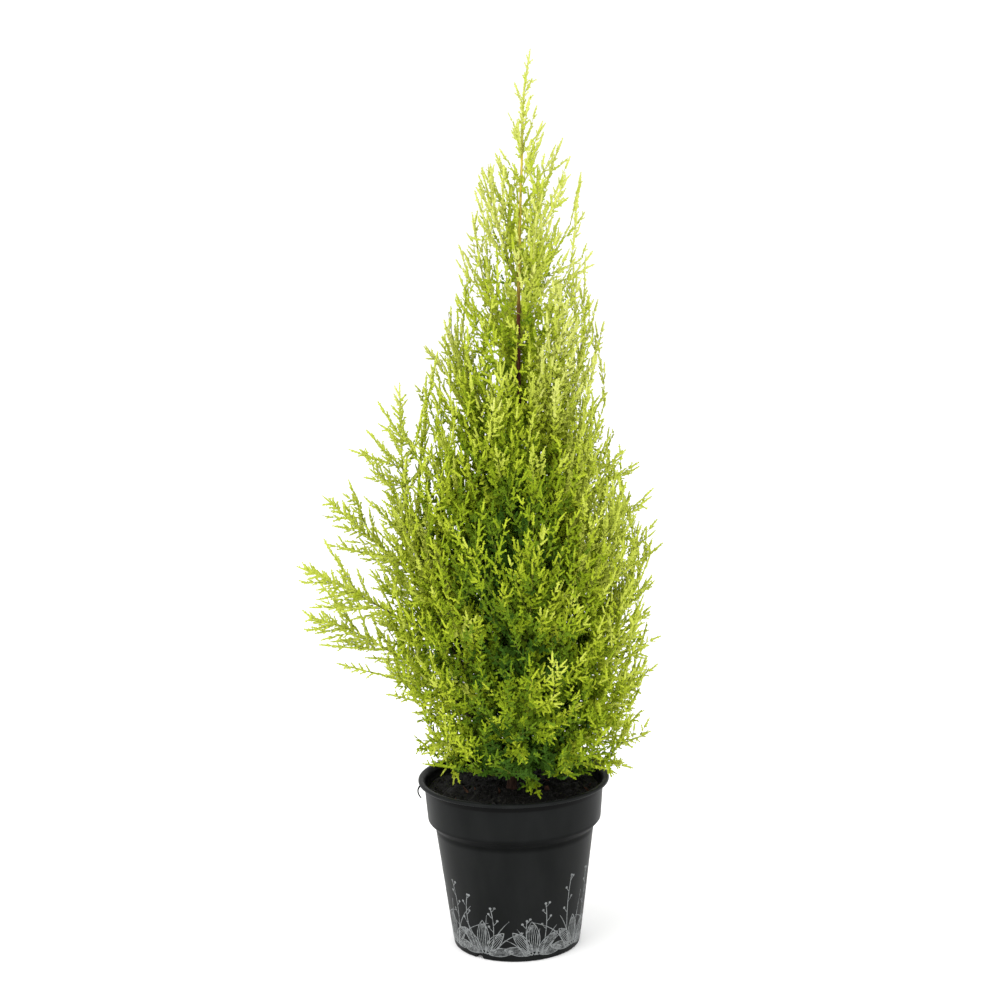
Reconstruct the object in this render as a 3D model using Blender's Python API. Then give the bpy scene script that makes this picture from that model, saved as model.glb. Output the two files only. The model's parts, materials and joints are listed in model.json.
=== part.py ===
"""Potted Monterey cypress: a young golden conifer in a round nursery pot.

Run with blender --background --python part.py, or from Blender's text editor.
Metres, +Z up. The origin is the centre of the pot's flat underside, and the
front of the pot faces -Y. The crown is rebuilt from its height, its outline
and a few tiers of plumes, each a bough, a stem, twigs and toothed sprays.
"""
import math
import random
from dataclasses import dataclass
from itertools import product

import bmesh
import bpy
import numpy as np
from mathutils import Quaternion, Vector

# Driving dimensions
POT_RIM_RADIUS = 0.085
POT_HEIGHT = 0.153
SOIL_LEVEL = 0.142
PLANT_TOP = 0.788
GAP = 0.0003

# Pot
FOOT_RADIUS = 0.0567
FOOT_ROUND = 0.002
BODY_TOP_RADIUS = 0.0708
BODY_TOP = 0.1095
COLLAR_FOOT_RADIUS = 0.0771
COLLAR_FOOT = 0.118
COLLAR_TOP_RADIUS = 0.0797
LIP_DEPTH = 0.0035
LIP_ROUND = 0.001
WALL = 0.0014
FLOOR = 0.0018
POT_SEGMENTS = 36
NOTCH_COUNT = 3
NOTCH_START = math.radians(233)
NOTCH_WIDTH = 0.0085
NOTCH_HEIGHT = 0.0036
NOTCH_DEPTH = 0.008

# Soil
SOIL_CLEARANCE = 0.0004
SOIL_ROUGHNESS = 0.0012
SOIL_SEAT = 0.012
SOIL_RINGS = (0.80, 0.45)

# Trunk: a lean to +X with one slow bend
TRUNK_FOOT_X = -0.002
TRUNK_LEAN = 0.027
TRUNK_BEND = 0.003
TRUNK_END = 0.700
TRUNK_FOOT_RADIUS = 0.0036
TRUNK_END_RADIUS = 0.0010
FLARE = 0.0016
FLARE_HEIGHT = 0.006
TRUNK_SIDES = 8
TRUNK_RINGS = 8
FLARE_RINGS = (0.0, 0.004, 0.012, 0.043)

# Crown: reach from the trunk's line at a few heights
CROWN_OUTLINE = (
    (0.155, 0.088),
    (0.200, 0.121),
    (0.360, 0.127),
    (0.410, 0.115),
    (0.480, 0.082),
    (0.560, 0.071),
    (0.630, 0.059),
    (0.700, 0.038),
    (PLANT_TOP, 0.0),
)
GOLDEN_ANGLE = math.radians(137.508)

# Limbs and stems
LIMB_ROOT_RADIUS = 0.0021
LIMB_END_RADIUS = 0.0014
LIMB_SIDES = 5
LIMB_RINGS = 3
STEM_ROOT_RADIUS = 0.0013
STEM_TIP_RADIUS = 0.0005
STEM_SIDES = 3
STEM_RINGS = 4
STEM_END = 0.93

# Twigs: their places on the stem as shares of its line
TWIG_RADIUS = 0.0009
TWIG_TIP_RADIUS = 0.0005
FIRST_TWIG = 0.08
LAST_TWIG = 0.84
TWIG_LENGTH = (0.40, 0.55)
TWIG_BRANCH = 0.45

# Sprays: sizes as shares of a spray's length, forward and sideways
TIP_SPRAY = 0.7
SPRAY_SINK = 0.0024
SPRAY_THICKNESS = 0.024
SPRAY_CURL = 0.10
SPRAY_CENTRE = 0.15
SPRAY_ROOT_HALF = 0.020
SPRAY_STAGGER = 0.05
SPRAY_TEETH = ((0.33, 0.20), (0.28, 0.07), (0.58, 0.18), (0.50, 0.085), (0.85, 0.15), (0.80, 0.04))
SHORT_TEETH = ((0.42, 0.24), (0.34, 0.075), (0.74, 0.20), (0.62, 0.05))
SHORT_SPRAY = 0.052

# Room that foliage keeps: from its neighbours, the limbs, the pot and the outline
SPACE_MARGIN = 0.0007
LIMB_MARGIN = 0.0016
OUTLINE_MARGIN = 0.004
SPRAY_SPACING = 0.006
SIDE_WIDTH = 0.042
POT_MARGIN = 0.003
SPRAY_ROLLS = (0.0, 0.8, -0.8)
TRY_TURNS = (0.0, 0.6, -0.6, 1.4, -1.4, 2.4)
TRY_SCALES = (1.0, 0.82, 0.64, 0.5)


@dataclass(frozen=True)
class Tier:
    """One ring of plumes that leave the trunk one after another.

    root and tip are the heights of the first and the last plume, reach is a
    share of the crown's outline, azimuth is the first plume's in degrees, sweep
    and lift bend the line, and limb is the share of it that is a bare bough.
    Twigs and sprays are counts, spray is a length and angle is in degrees.
    """

    name: str
    count: int
    root: tuple
    tip: tuple
    reach: float
    azimuth: float
    sweep: float
    lift: float
    limb: float
    twigs: int
    sprays: int
    spray: float
    angle: float


@dataclass(frozen=True)
class Plume:
    """One bough of the crown: a line from the trunk to a tip, and what it bears."""

    name: str
    root: Vector
    control: Vector
    tip: Vector
    limb: float
    twigs: int
    sprays: int
    spray: float
    angle: float

    def point(self, share):
        """Point of the plume's line at a share of its length."""
        rest = 1.0 - share
        return self.root * rest * rest + self.control * 2.0 * share * rest + self.tip * share * share

    def direction(self, share):
        """Unit direction of the plume's line at a share of its length."""
        step = (self.control - self.root) * (1.0 - share) + (self.tip - self.control) * share
        return step.normalized()


TIERS = (
    Tier("skirt", 6, (0.153, 0.160), (0.168, 0.196), 0.96, 250.0, 0.45, 1.35, 0.0, 1, 5, 0.064, 36.0),
    Tier("low", 7, (0.172, 0.205), (0.255, 0.330), 0.97, 0.0, 0.72, 0.34, 0.0, 1, 6, 0.072, 34.0),
    Tier("heart", 5, (0.188, 0.227), (0.330, 0.375), 0.58, 233.0, 0.85, 0.30, 0.0, 1, 4, 0.074, 30.0),
    Tier("middle", 7, (0.232, 0.280), (0.375, 0.440), 0.97, 0.0, 0.85, 0.30, 0.22, 1, 6, 0.078, 32.0),
    Tier("inner", 5, (0.292, 0.340), (0.450, 0.535), 0.84, 65.0, 0.80, 0.30, 0.0, 1, 5, 0.080, 30.0),
    Tier("upper", 4, (0.390, 0.440), (0.560, 0.615), 0.94, 30.0, 0.80, 0.32, 0.0, 1, 6, 0.068, 30.0),
    Tier("spire", 4, (0.505, 0.590), (0.655, 0.705), 0.92, 150.0, 0.75, 0.34, 0.0, 1, 5, 0.054, 30.0),
)

# Plumes that stand out of the round crown: tip, root height, sweep, lift, bare limb, twigs
SIDE_PLUMES = (
    ("side_leader", (-0.090, -0.004, 0.513), 0.200, 1.12, 0.30, 0.40, 1),
    ("sweep_low", (-0.183, 0.012, 0.300), 0.167, 0.55, 0.90, 0.26, 1),
    ("sweep_middle", (-0.179, -0.044, 0.356), 0.226, 0.60, 0.72, 0.26, 1),
    ("sweep_high", (-0.162, 0.036, 0.402), 0.252, 0.62, 0.62, 0.26, 1),
)
SIDE_NAMES = [name for name, *_ in SIDE_PLUMES]
SIDE_SPRAYS = 6
SIDE_SPRAY = 0.066
SIDE_ANGLE = 30.0

# The leader: no bare limb or twigs, and its sprays, their length and angle
LEADER_FOLIAGE = (0.0, 0, 5, 0.042, 26.0)

# Finishes
POT_COLOUR = (0.022, 0.023, 0.023)
SOIL_COLOUR = (0.020, 0.014, 0.009)
BARK_COLOUR = (0.120, 0.060, 0.025)
LOW_FOLIAGE = (0.120, 0.200, 0.020)
HIGH_FOLIAGE = (0.520, 0.580, 0.110)


def blend(low, high, share):
    """Value at a share of the way from low to high."""
    return low + (high - low) * share


def trunk_point(height):
    """Centre of the trunk's line at a height."""
    share = (height - SOIL_LEVEL) / (PLANT_TOP - SOIL_LEVEL)
    x = TRUNK_FOOT_X + TRUNK_LEAN * share + TRUNK_BEND * math.sin(2.0 * math.pi * share)
    return Vector((x, 0.0, height))


def trunk_radius(height):
    """Radius of the trunk at a height, with the flare at its foot."""
    share = (height - SOIL_LEVEL) / (TRUNK_END - SOIL_LEVEL)
    flare = FLARE * math.exp(-(height - SOIL_LEVEL) / FLARE_HEIGHT)
    return blend(TRUNK_FOOT_RADIUS, TRUNK_END_RADIUS, share) + flare


def crown_reach(height):
    """Reach of the crown from the trunk's line at a height."""
    heights, reaches = zip(*CROWN_OUTLINE)
    return float(np.interp(height, heights, reaches))


def make_finish(name, colour, roughness):
    """A plain material with the part's colour and roughness."""
    finish = bpy.data.materials.new(name + "_finish")
    finish.use_nodes = True
    shader = finish.node_tree.nodes["Principled BSDF"]
    shader.inputs["Base Color"].default_value = (*colour, 1.0)
    shader.inputs["Roughness"].default_value = roughness
    shader.inputs["Metallic"].default_value = 0.0
    return finish


def make_object(name, vertices, faces):
    """A linked object from vertices and faces."""
    mesh = bpy.data.meshes.new(name)
    mesh.from_pydata([tuple(vertex) for vertex in vertices], [], faces)
    mesh.update()
    thing = bpy.data.objects.new(name, mesh)
    bpy.context.collection.objects.link(thing)
    return thing


def dress(thing, colour, roughness, smooth_angle=math.radians(40)):
    """Give an object its finish and its smooth shading."""
    thing.data.materials.clear()
    thing.data.materials.append(make_finish(thing.name, colour, roughness))
    thing.data.shade_smooth()
    thing.data.set_sharp_from_angle(angle=smooth_angle)


def drop_object(thing):
    """Remove an object and its mesh."""
    mesh = thing.data
    bpy.data.objects.remove(thing)
    bpy.data.meshes.remove(mesh)


def ring_faces(rings, sides):
    """Quads between the rings of a closed tube, and a cap on each end."""
    faces = []
    for ring in range(rings - 1):
        low, high = ring * sides, (ring + 1) * sides
        for side in range(sides):
            after = (side + 1) % sides
            faces.append((low + side, low + after, high + after, high + side))
    faces.append(tuple(reversed(range(sides))))
    faces.append(tuple(range((rings - 1) * sides, rings * sides)))
    return faces


def make_tube(name, points, radii, sides, level=False):
    """A closed tapering tube along points, cut level where level is set."""
    turn = Quaternion()
    before = Vector((0.0, 0.0, 1.0))
    vertices = []
    for index, (point, radius) in enumerate(zip(points, radii)):
        if not level:
            ahead = points[min(index + 1, len(points) - 1)] - points[max(index - 1, 0)]
            turn = before.rotation_difference(ahead) @ turn
            before = ahead
        for side in range(sides):
            around = 2.0 * math.pi * side / sides
            spoke = Vector((radius * math.cos(around), radius * math.sin(around), 0.0))
            vertices.append(point + turn @ spoke)
    return make_object(name, vertices, ring_faces(len(points), sides))


def lathe(name, profile, segments, bump=None):
    """A closed turned solid from a profile that starts and ends on the axis."""
    vertices = [Vector((0.0, 0.0, profile[0][1]))]
    for ring, (radius, height) in enumerate(profile[1:-1]):
        for segment in range(segments):
            around = 2.0 * math.pi * segment / segments
            rise = bump(ring) if bump else 0.0
            vertices.append(Vector((radius * math.cos(around), radius * math.sin(around), height + rise)))
    vertices.append(Vector((0.0, 0.0, profile[-1][1])))
    faces = []
    last = len(vertices) - 1
    top = 1 + (len(profile) - 3) * segments
    for segment in range(segments):
        after = (segment + 1) % segments
        faces.append((0, 1 + after, 1 + segment))
        faces.append((last, top + segment, top + after))
        for ring in range(len(profile) - 3):
            low = 1 + ring * segments
            high = low + segments
            faces.append((low + segment, low + after, high + after, high + segment))
    return make_object(name, vertices, faces)


def pot_inner():
    """Inside of the pot's wall, from its mouth down to the floor's edge."""
    return [
        (COLLAR_TOP_RADIUS - WALL, POT_HEIGHT),
        (COLLAR_FOOT_RADIUS - WALL, COLLAR_FOOT),
        (BODY_TOP_RADIUS - WALL, BODY_TOP),
        (FOOT_RADIUS - WALL, FLOOR),
    ]


def inner_radius(height):
    """Radius of the pot's inside at a height."""
    radii, heights = zip(*reversed(pot_inner()))
    return float(np.interp(height, heights, radii))


def build_pot():
    """The thin-walled pot with its collar, lip and drain notches."""
    lip_foot = POT_HEIGHT - LIP_DEPTH
    profile = [
        (0.0, 0.0),
        (FOOT_RADIUS - FOOT_ROUND, 0.0),
        (FOOT_RADIUS, FOOT_ROUND),
        (BODY_TOP_RADIUS, BODY_TOP),
        (COLLAR_FOOT_RADIUS, COLLAR_FOOT),
        (COLLAR_TOP_RADIUS, lip_foot),
        (POT_RIM_RADIUS - LIP_ROUND, lip_foot),
        (POT_RIM_RADIUS, lip_foot + LIP_ROUND),
        (POT_RIM_RADIUS, POT_HEIGHT - LIP_ROUND),
        (POT_RIM_RADIUS - LIP_ROUND, POT_HEIGHT),
    ]
    pot = lathe("pot", profile + pot_inner() + [(0.0, FLOOR)], POT_SEGMENTS)
    for index in range(NOTCH_COUNT):
        cutter = build_notch(index)
        cut = pot.modifiers.new(cutter.name, "BOOLEAN")
        cut.operation = "DIFFERENCE"
        cut.solver = "EXACT"
        cut.object = cutter
    dress(pot, POT_COLOUR, 0.45)


def build_notch(index):
    """Cutter for one arched drain notch in the pot's lower edge."""
    around = NOTCH_START + 2.0 * math.pi * index / NOTCH_COUNT
    half = NOTCH_WIDTH / 2.0
    shoulder = NOTCH_HEIGHT * 0.55
    outline = [(-half, -0.002), (half, -0.002), (half, shoulder), (half * 0.5, NOTCH_HEIGHT),
               (-half * 0.5, NOTCH_HEIGHT), (-half, shoulder)]
    near = FOOT_RADIUS - NOTCH_DEPTH
    far = FOOT_RADIUS + NOTCH_DEPTH
    vertices = [Vector((reach, across, height)) for reach in (far, near) for across, height in outline]
    cutter = make_object(f"notch_cutter_{index + 1}", vertices, ring_faces(2, len(outline)))
    make_faces_point_out(cutter)
    cutter.rotation_euler = (0.0, 0.0, around)
    cutter.hide_render = True
    cutter.display_type = "WIRE"
    return cutter


def make_faces_point_out(thing):
    """Turn an object's faces outwards."""
    mesh = bmesh.new()
    mesh.from_mesh(thing.data)
    bmesh.ops.recalc_face_normals(mesh, faces=mesh.faces)
    mesh.to_mesh(thing.data)
    mesh.free()


def build_soil():
    """The soil: a plug that fills the pot, with a rough top and a level seat for the trunk."""
    rng = random.Random(11)
    edge = inner_radius(SOIL_LEVEL) - SOIL_CLEARANCE
    profile = [
        (0.0, FLOOR + GAP),
        (inner_radius(FLOOR) - SOIL_CLEARANCE, FLOOR + GAP),
        (BODY_TOP_RADIUS - WALL - SOIL_CLEARANCE, BODY_TOP),
        (COLLAR_FOOT_RADIUS - WALL - SOIL_CLEARANCE, COLLAR_FOOT),
        (edge, SOIL_LEVEL - SOIL_ROUGHNESS),
        *[(edge * share, SOIL_LEVEL - SOIL_ROUGHNESS) for share in SOIL_RINGS],
        (SOIL_SEAT, SOIL_LEVEL),
        (0.0, SOIL_LEVEL),
    ]
    rough = range(4, 4 + len(SOIL_RINGS))
    soil = lathe("soil", profile, POT_SEGMENTS,
                 lambda ring: rng.uniform(-1.0, 1.0) * SOIL_ROUGHNESS if ring in rough else 0.0)
    dress(soil, SOIL_COLOUR, 0.95)


def build_trunk():
    """The trunk: one tapering stem from its flat foot to its tip, with the root flare."""
    heights = [SOIL_LEVEL + GAP + rise for rise in FLARE_RINGS]
    above_flare = heights[-1]
    heights += [blend(above_flare, TRUNK_END, (step + 1) / TRUNK_RINGS) for step in range(TRUNK_RINGS)]
    points = [trunk_point(height) for height in heights]
    trunk = make_tube("trunk", points, [trunk_radius(height) for height in heights], TRUNK_SIDES, True)
    dress(trunk, BARK_COLOUR, 0.85)


def make_plume(name, root_height, tip, sweep, lift, limb, *foliage):
    """A plume from its root height on the trunk and its tip."""
    root = trunk_point(root_height)
    run = tip - root
    control = root + Vector((run.x * sweep, run.y * sweep, run.z * lift))
    return Plume(name, root, control, tip, limb, *foliage)


def tier_plumes(tier):
    """The plumes of one tier, turned by the golden angle from root to root."""
    plumes = []
    for index in range(tier.count):
        share = index / (tier.count - 1)
        around = math.radians(tier.azimuth) + index * GOLDEN_ANGLE
        height = blend(*tier.tip, share)
        reach = crown_reach(height) * tier.reach
        tip = trunk_point(height) + Vector((math.cos(around), math.sin(around), 0.0)) * reach
        plumes.append(make_plume(f"{tier.name}_{index + 1}", blend(*tier.root, share), tip, tier.sweep,
                                 tier.lift, tier.limb, tier.twigs, tier.sprays, tier.spray, tier.angle))
    return plumes


def all_plumes():
    """Every plume of the crown: the tiers, the side plumes and the leader."""
    plumes = [plume for tier in TIERS for plume in tier_plumes(tier)]
    for name, tip, root, sweep, lift, limb, twigs in SIDE_PLUMES:
        plumes.append(make_plume(name, root, Vector(tip), sweep, lift, limb, twigs, SIDE_SPRAYS,
                                 SIDE_SPRAY, SIDE_ANGLE))
    middle = trunk_point(blend(TRUNK_END, PLANT_TOP, 0.5))
    plumes.append(Plume("leader", trunk_point(TRUNK_END), middle, trunk_point(PLANT_TOP), *LEADER_FOLIAGE))
    return plumes


def limb_start(plume):
    """Share of a plume's line where its root clears the trunk's surface."""
    if plume.name == "leader":
        return GAP / (plume.tip - plume.root).length
    radius = LIMB_ROOT_RADIUS if plume.limb else STEM_ROOT_RADIUS
    share = 0.0
    while True:
        share += 0.001
        point = plume.point(share)
        away = math.hypot(point.x - trunk_point(point.z).x, point.y)
        if away >= trunk_radius(point.z) + GAP + radius * abs(plume.direction(share).z):
            return share


def stem_start(plume):
    """Share of a plume's line where its foliage's stem starts."""
    if not plume.limb:
        return limb_start(plume)
    return plume.limb + GAP / (plume.tip - plume.root).length


def build_bough(plume):
    """The bare limb of a plume, one taper from the trunk to its foliage."""
    start = limb_start(plume)
    steps = [step / LIMB_RINGS for step in range(LIMB_RINGS + 1)]
    shares = [blend(start, plume.limb, step) for step in steps]
    radii = [blend(LIMB_ROOT_RADIUS, LIMB_END_RADIUS, step) for step in steps]
    bough = make_tube("bough_" + plume.name, [plume.point(share) for share in shares], radii, LIMB_SIDES)
    dress(bough, BARK_COLOUR, 0.85)


class Space:
    """The crown shared out: a point belongs to the plume whose line is nearest."""

    def __init__(self, plumes):
        """Sample the plumes' lines, the boughs and the trunk."""
        self.names = [plume.name for plume in plumes]
        self.tips = {plume.name: (plume.tip, plume.direction(1.0)) for plume in plumes}
        self.lines = []
        self.limbs = []
        for plume in plumes:
            start = stem_start(plume)
            shares = np.linspace(start, 1.0, 24)
            self.lines.append(np.array([plume.point(share) for share in shares]))
            if plume.limb:
                shares = np.linspace(limb_start(plume), plume.limb, 16)
                self.add_limb([plume.point(share) for share in shares], LIMB_ROOT_RADIUS)
        heights = np.linspace(SOIL_LEVEL, TRUNK_END, 120)
        for height in heights:
            self.add_limb([trunk_point(height)], trunk_radius(height))

    def add_limb(self, points, radius):
        """Keep foliage off a limb's points."""
        self.limbs.append((np.array([tuple(point) for point in points]), radius))

    def holds(self, name, points):
        """Whether all points lie in the named plume's space and touch no limb, pot or soil."""
        places = np.array([tuple(point) for point in points])
        nearest = [self.distance(places, line) for line in self.lines]
        own = nearest.pop(self.names.index(name))
        if np.any(own + SPACE_MARGIN > np.min(nearest, axis=0)):
            return False
        if not self.within_outline(name, places, own):
            return False
        for line, radius in self.limbs:
            if np.any(self.distance(places, line) < radius + LIMB_MARGIN):
                return False
        radial = np.hypot(places[:, 0], places[:, 1])
        above = places[:, 2] > POT_HEIGHT + POT_MARGIN
        in_mouth = (radial < inner_radius(POT_HEIGHT) - POT_MARGIN) & (places[:, 2] > SOIL_LEVEL + POT_MARGIN)
        return bool(np.all(above | in_mouth)) and places[:, 2].max() < PLANT_TOP

    def within_outline(self, name, places, own):
        """Whether places stay inside the crown's outline and short of the plume's tip."""
        tip, end = self.tips[name]
        if np.any((places - np.array(tip)) @ np.array(end) > 0.001):
            return False
        if name in SIDE_NAMES:
            return bool(np.all(own < SIDE_WIDTH))
        for place in places:
            middle = trunk_point(place[2])
            if math.hypot(place[0] - middle.x, place[1]) > crown_reach(place[2]) + OUTLINE_MARGIN:
                return False
        return True

    @staticmethod
    def distance(places, line):
        """Distance of each place from a sampled line."""
        return np.linalg.norm(places[:, None, :] - line[None, :, :], axis=2).min(axis=1)


def spray_points(root, along, across, length):
    """Outline of one toothed spray, and its two middle points above and below."""
    face = along.cross(across).normalized()

    def place(forward, sideways, rise=0.0):
        """Point at shares of the spray's length."""
        curl = SPRAY_CURL * forward * forward
        return root + (along * forward + across * sideways + face * (rise + curl)) * length

    teeth = SPRAY_TEETH if length > SHORT_SPRAY else SHORT_TEETH
    right = [place(0.0, SPRAY_ROOT_HALF)] + [place(*tooth) for tooth in teeth]
    left = [place(0.0, -SPRAY_ROOT_HALF)]
    left += [place(forward - SPRAY_STAGGER, -sideways) for forward, sideways in teeth]
    outline = right + [place(1.0, 0.0)] + left[::-1]
    middle = [place(SPRAY_CENTRE, 0.0, rise) for rise in (SPRAY_THICKNESS / 2, -SPRAY_THICKNESS / 2)]
    return outline, middle


def make_spray(name, outline, middle):
    """One toothed spray: a thin closed blade, thickest near its root."""
    count = len(outline)
    faces = []
    for index in range(count):
        after = (index + 1) % count
        faces.append((index, after, count))
        faces.append((after, index, count + 1))
    spray = make_object(name, outline + middle, faces)
    make_faces_point_out(spray)
    return spray


def sideways(direction, around):
    """Unit vector at right angles to a direction, turned around it."""
    helper = Vector((0.0, 0.0, 1.0)) if abs(direction.z) < 0.9 else Vector((1.0, 0.0, 0.0))
    start = direction.cross(helper).normalized()
    return Quaternion(direction, around) @ start


def outline_samples(outline, middle):
    """The outline's points and points between them, for the space test."""
    ends = outline[1:] + outline[:1]
    return outline + [(point + end) / 2.0 for point, end in zip(outline, ends)] + middle


class Mass:
    """One mass of foliage: a stem, its twigs and their sprays, joined in one solid."""

    def __init__(self, plume, space, seed):
        """Start a mass on a plume's line."""
        self.plume = plume
        self.space = space
        self.rng = random.Random(seed)
        self.pieces = []
        self.taken = []

    def grow(self):
        """Grow the stem, the twigs in turn around it, and the sprays."""
        start = stem_start(self.plume)
        steps = [step / STEM_RINGS for step in range(STEM_RINGS + 1)]
        points = [self.plume.point(blend(start, STEM_END, step)) for step in steps]
        radii = [blend(STEM_ROOT_RADIUS, STEM_TIP_RADIUS, step) for step in steps]
        self.pieces.append(make_tube("stem", points, radii, STEM_SIDES))
        self.add_tip_spray()
        around = self.rng.uniform(0.0, 2.0 * math.pi)
        total = self.plume.twigs + self.plume.sprays
        for index in range(total):
            share = blend(start + FIRST_TWIG, LAST_TWIG, index / (total - 1))
            if index % 3 == 1 and index // 3 < self.plume.twigs:
                self.add_twig(share, around + index * GOLDEN_ANGLE)
            else:
                self.add_stem_spray(share, around + index * GOLDEN_ANGLE)

    def add_tip_spray(self):
        """The spray that ends the stem and reaches the plume's tip."""
        length = self.plume.spray * TIP_SPRAY
        share = 1.0
        while (self.plume.tip - self.plume.point(share)).length < length:
            share -= 0.01
        root = self.plume.point(share)
        self.add_spray(root, (self.plume.tip - root).normalized(), 0.0, length)

    def side_direction(self, share, around):
        """Direction that leaves the stem at the plume's angle."""
        direction = self.plume.direction(share)
        turn = math.radians(self.plume.angle + self.rng.uniform(-4.0, 4.0))
        return (direction * math.cos(turn) + sideways(direction, around) * math.sin(turn)).normalized()

    def add_stem_spray(self, share, around):
        """A spray straight on the stem, in the first place that is free."""
        length = self.plume.spray * self.rng.uniform(0.85, 1.0)
        for scale, turn in product(TRY_SCALES, TRY_TURNS):
            direction = self.side_direction(share, around + turn)
            if self.add_spray(self.plume.point(share), direction, turn, length * scale):
                return

    def add_twig(self, share, around):
        """A side twig with a spray on its end and one on its side."""
        foot = self.plume.point(share)
        reach = self.plume.spray * self.rng.uniform(*TWIG_LENGTH)
        for scale, turn in product(TRY_SCALES, TRY_TURNS):
            direction = self.side_direction(share, around + turn)
            end = foot + direction * reach * scale
            length = self.plume.spray * scale
            if not self.space.holds(self.plume.name, [foot.lerp(end, 0.5), end]):
                continue
            rise = (direction + self.plume.direction(share) * 0.45).normalized()
            if not self.add_spray(end, rise, turn, length):
                continue
            self.pieces.append(make_tube("twig", [foot, end + direction * SPRAY_SINK],
                                         [TWIG_RADIUS, TWIG_TIP_RADIUS], STEM_SIDES))
            branch = (direction * 0.6 + self.plume.direction(share)).normalized()
            self.add_spray(foot.lerp(end, TWIG_BRANCH), branch, turn, length * 0.8)
            return

    def add_spray(self, root, along, turn, length):
        """One spray whose face looks out of the crown, if its space is free."""
        out = Vector((root.x - trunk_point(root.z).x, root.y, 0.0))
        across = along.cross(out).normalized() if out.length > 0.004 else sideways(along, turn)
        roll = self.rng.choice(SPRAY_ROLLS) + self.rng.uniform(-0.25, 0.25)
        across = Quaternion(along, roll) @ across
        outline, middle = spray_points(root - along * SPRAY_SINK, along, across, length + SPRAY_SINK)
        samples = outline_samples(outline, middle)
        if self.crowded(samples, root, length) or not self.space.holds(self.plume.name, samples):
            return False
        self.taken.extend(samples)
        self.pieces.append(make_spray("spray", outline, middle))
        return True

    def crowded(self, samples, root, length):
        """Whether a spray's outer part comes near a spray that is already there."""
        if not self.taken:
            return False
        outer = np.array([tuple(point) for point in samples if (point - root).length > length * 0.3])
        taken = np.array([tuple(point) for point in self.taken])
        return bool(self.space.distance(outer, taken).min() < SPRAY_SPACING)

    def join(self):
        """Join the pieces in one solid by one Boolean union on their collection."""
        name = "foliage_" + self.plume.name
        for solver, share in (("EXACT", 1.0), ("MANIFOLD", 1.0), ("EXACT", 0.7)):
            kept = self.pieces[:1 + int((len(self.pieces) - 1) * share)]
            solid = unite(name, kept, solver)
            if solid:
                break
        for piece in self.pieces:
            drop_object(piece)
        height = (self.plume.point(0.7).z - SOIL_LEVEL) / (PLANT_TOP - SOIL_LEVEL)
        colour = [blend(low, high, height) for low, high in zip(LOW_FOLIAGE, HIGH_FOLIAGE)]
        dress(solid, colour, 0.7, math.radians(25))


def unite(name, pieces, solver):
    """Union of pieces as one closed solid, or None where the result isn't closed."""
    group = bpy.data.collections.new("union")
    bpy.context.scene.collection.children.link(group)
    for piece in pieces[1:]:
        group.objects.link(piece)
    join = pieces[0].modifiers.new("join", "BOOLEAN")
    join.operation = "UNION"
    join.operand_type = "COLLECTION"
    join.solver = solver
    join.collection = group
    shape = pieces[0].evaluated_get(bpy.context.evaluated_depsgraph_get())
    mesh = bpy.data.meshes.new_from_object(shape)
    pieces[0].modifiers.remove(join)
    bpy.data.collections.remove(group)
    mesh.name = name
    if not keep_main_body(mesh):
        bpy.data.meshes.remove(mesh)
        return None
    solid = bpy.data.objects.new(name, mesh)
    bpy.context.collection.objects.link(solid)
    return solid


def keep_main_body(mesh):
    """Leave only the largest body: fill sealed hollows and drop scraps. False if it isn't closed."""
    shape = bmesh.new()
    shape.from_mesh(mesh)
    bmesh.ops.dissolve_degenerate(shape, dist=0.000002, edges=shape.edges)
    bmesh.ops.triangulate(shape, faces=shape.faces)
    islands = sorted(find_islands(shape), key=island_volume, reverse=True)
    scraps = [face for island in islands[1:] for face in island]
    bmesh.ops.delete(shape, geom=scraps, context="FACES")
    loose = [vertex for vertex in shape.verts if not vertex.link_faces]
    bmesh.ops.delete(shape, geom=loose, context="VERTS")
    closed = all(edge.is_manifold for edge in shape.edges) and bool(shape.faces)
    shape.to_mesh(mesh)
    shape.free()
    return closed


def find_islands(shape):
    """Groups of faces that hang together."""
    left = set(shape.faces)
    islands = []
    while left:
        queue = [left.pop()]
        island = []
        while queue:
            face = queue.pop()
            island.append(face)
            for edge in face.edges:
                for other in edge.link_faces:
                    if other in left:
                        left.remove(other)
                        queue.append(other)
        islands.append(island)
    return islands


def island_volume(faces):
    """Signed volume that triangles enclose."""
    volume = 0.0
    for face in faces:
        a, b, c = (vertex.co for vertex in face.verts)
        volume += a.dot(b.cross(c)) / 6.0
    return volume


def main():
    """Clear the scene and build every node."""
    for thing in list(bpy.data.objects):
        bpy.data.objects.remove(thing)
    build_pot()
    build_soil()
    build_trunk()
    plumes = all_plumes()
    space = Space(plumes)
    for index, plume in enumerate(plumes):
        if plume.limb:
            build_bough(plume)
        mass = Mass(plume, space, 100 + index)
        mass.grow()
        mass.join()


main()
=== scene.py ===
"""Looks of the potted Monterey cypress: pot, soil, bark, twigs and needled shoots.

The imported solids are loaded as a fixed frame. Each sub-assembly is a class that
builds its meshes from a few sizes and dresses them: the pot with its printed
band, the soil, the wood, and the crown, whose plumes follow the rule of the
part's source and are carried on to side twigs, sub-twigs and needled shoots.
Metres, +Z up, origin at the centre of the pot's flat underside, front at -Y.
"""

import json
import logging
import math
import random
from dataclasses import dataclass, field
from enum import Enum
from functools import cached_property
from typing import Callable, Iterable, Optional, Sequence

import bmesh
import bpy
import numpy as np
from bpy.types import Collection, Material, Node, NodeSocket, NodeTree, Object
from mathutils import Matrix, Vector, noise

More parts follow.
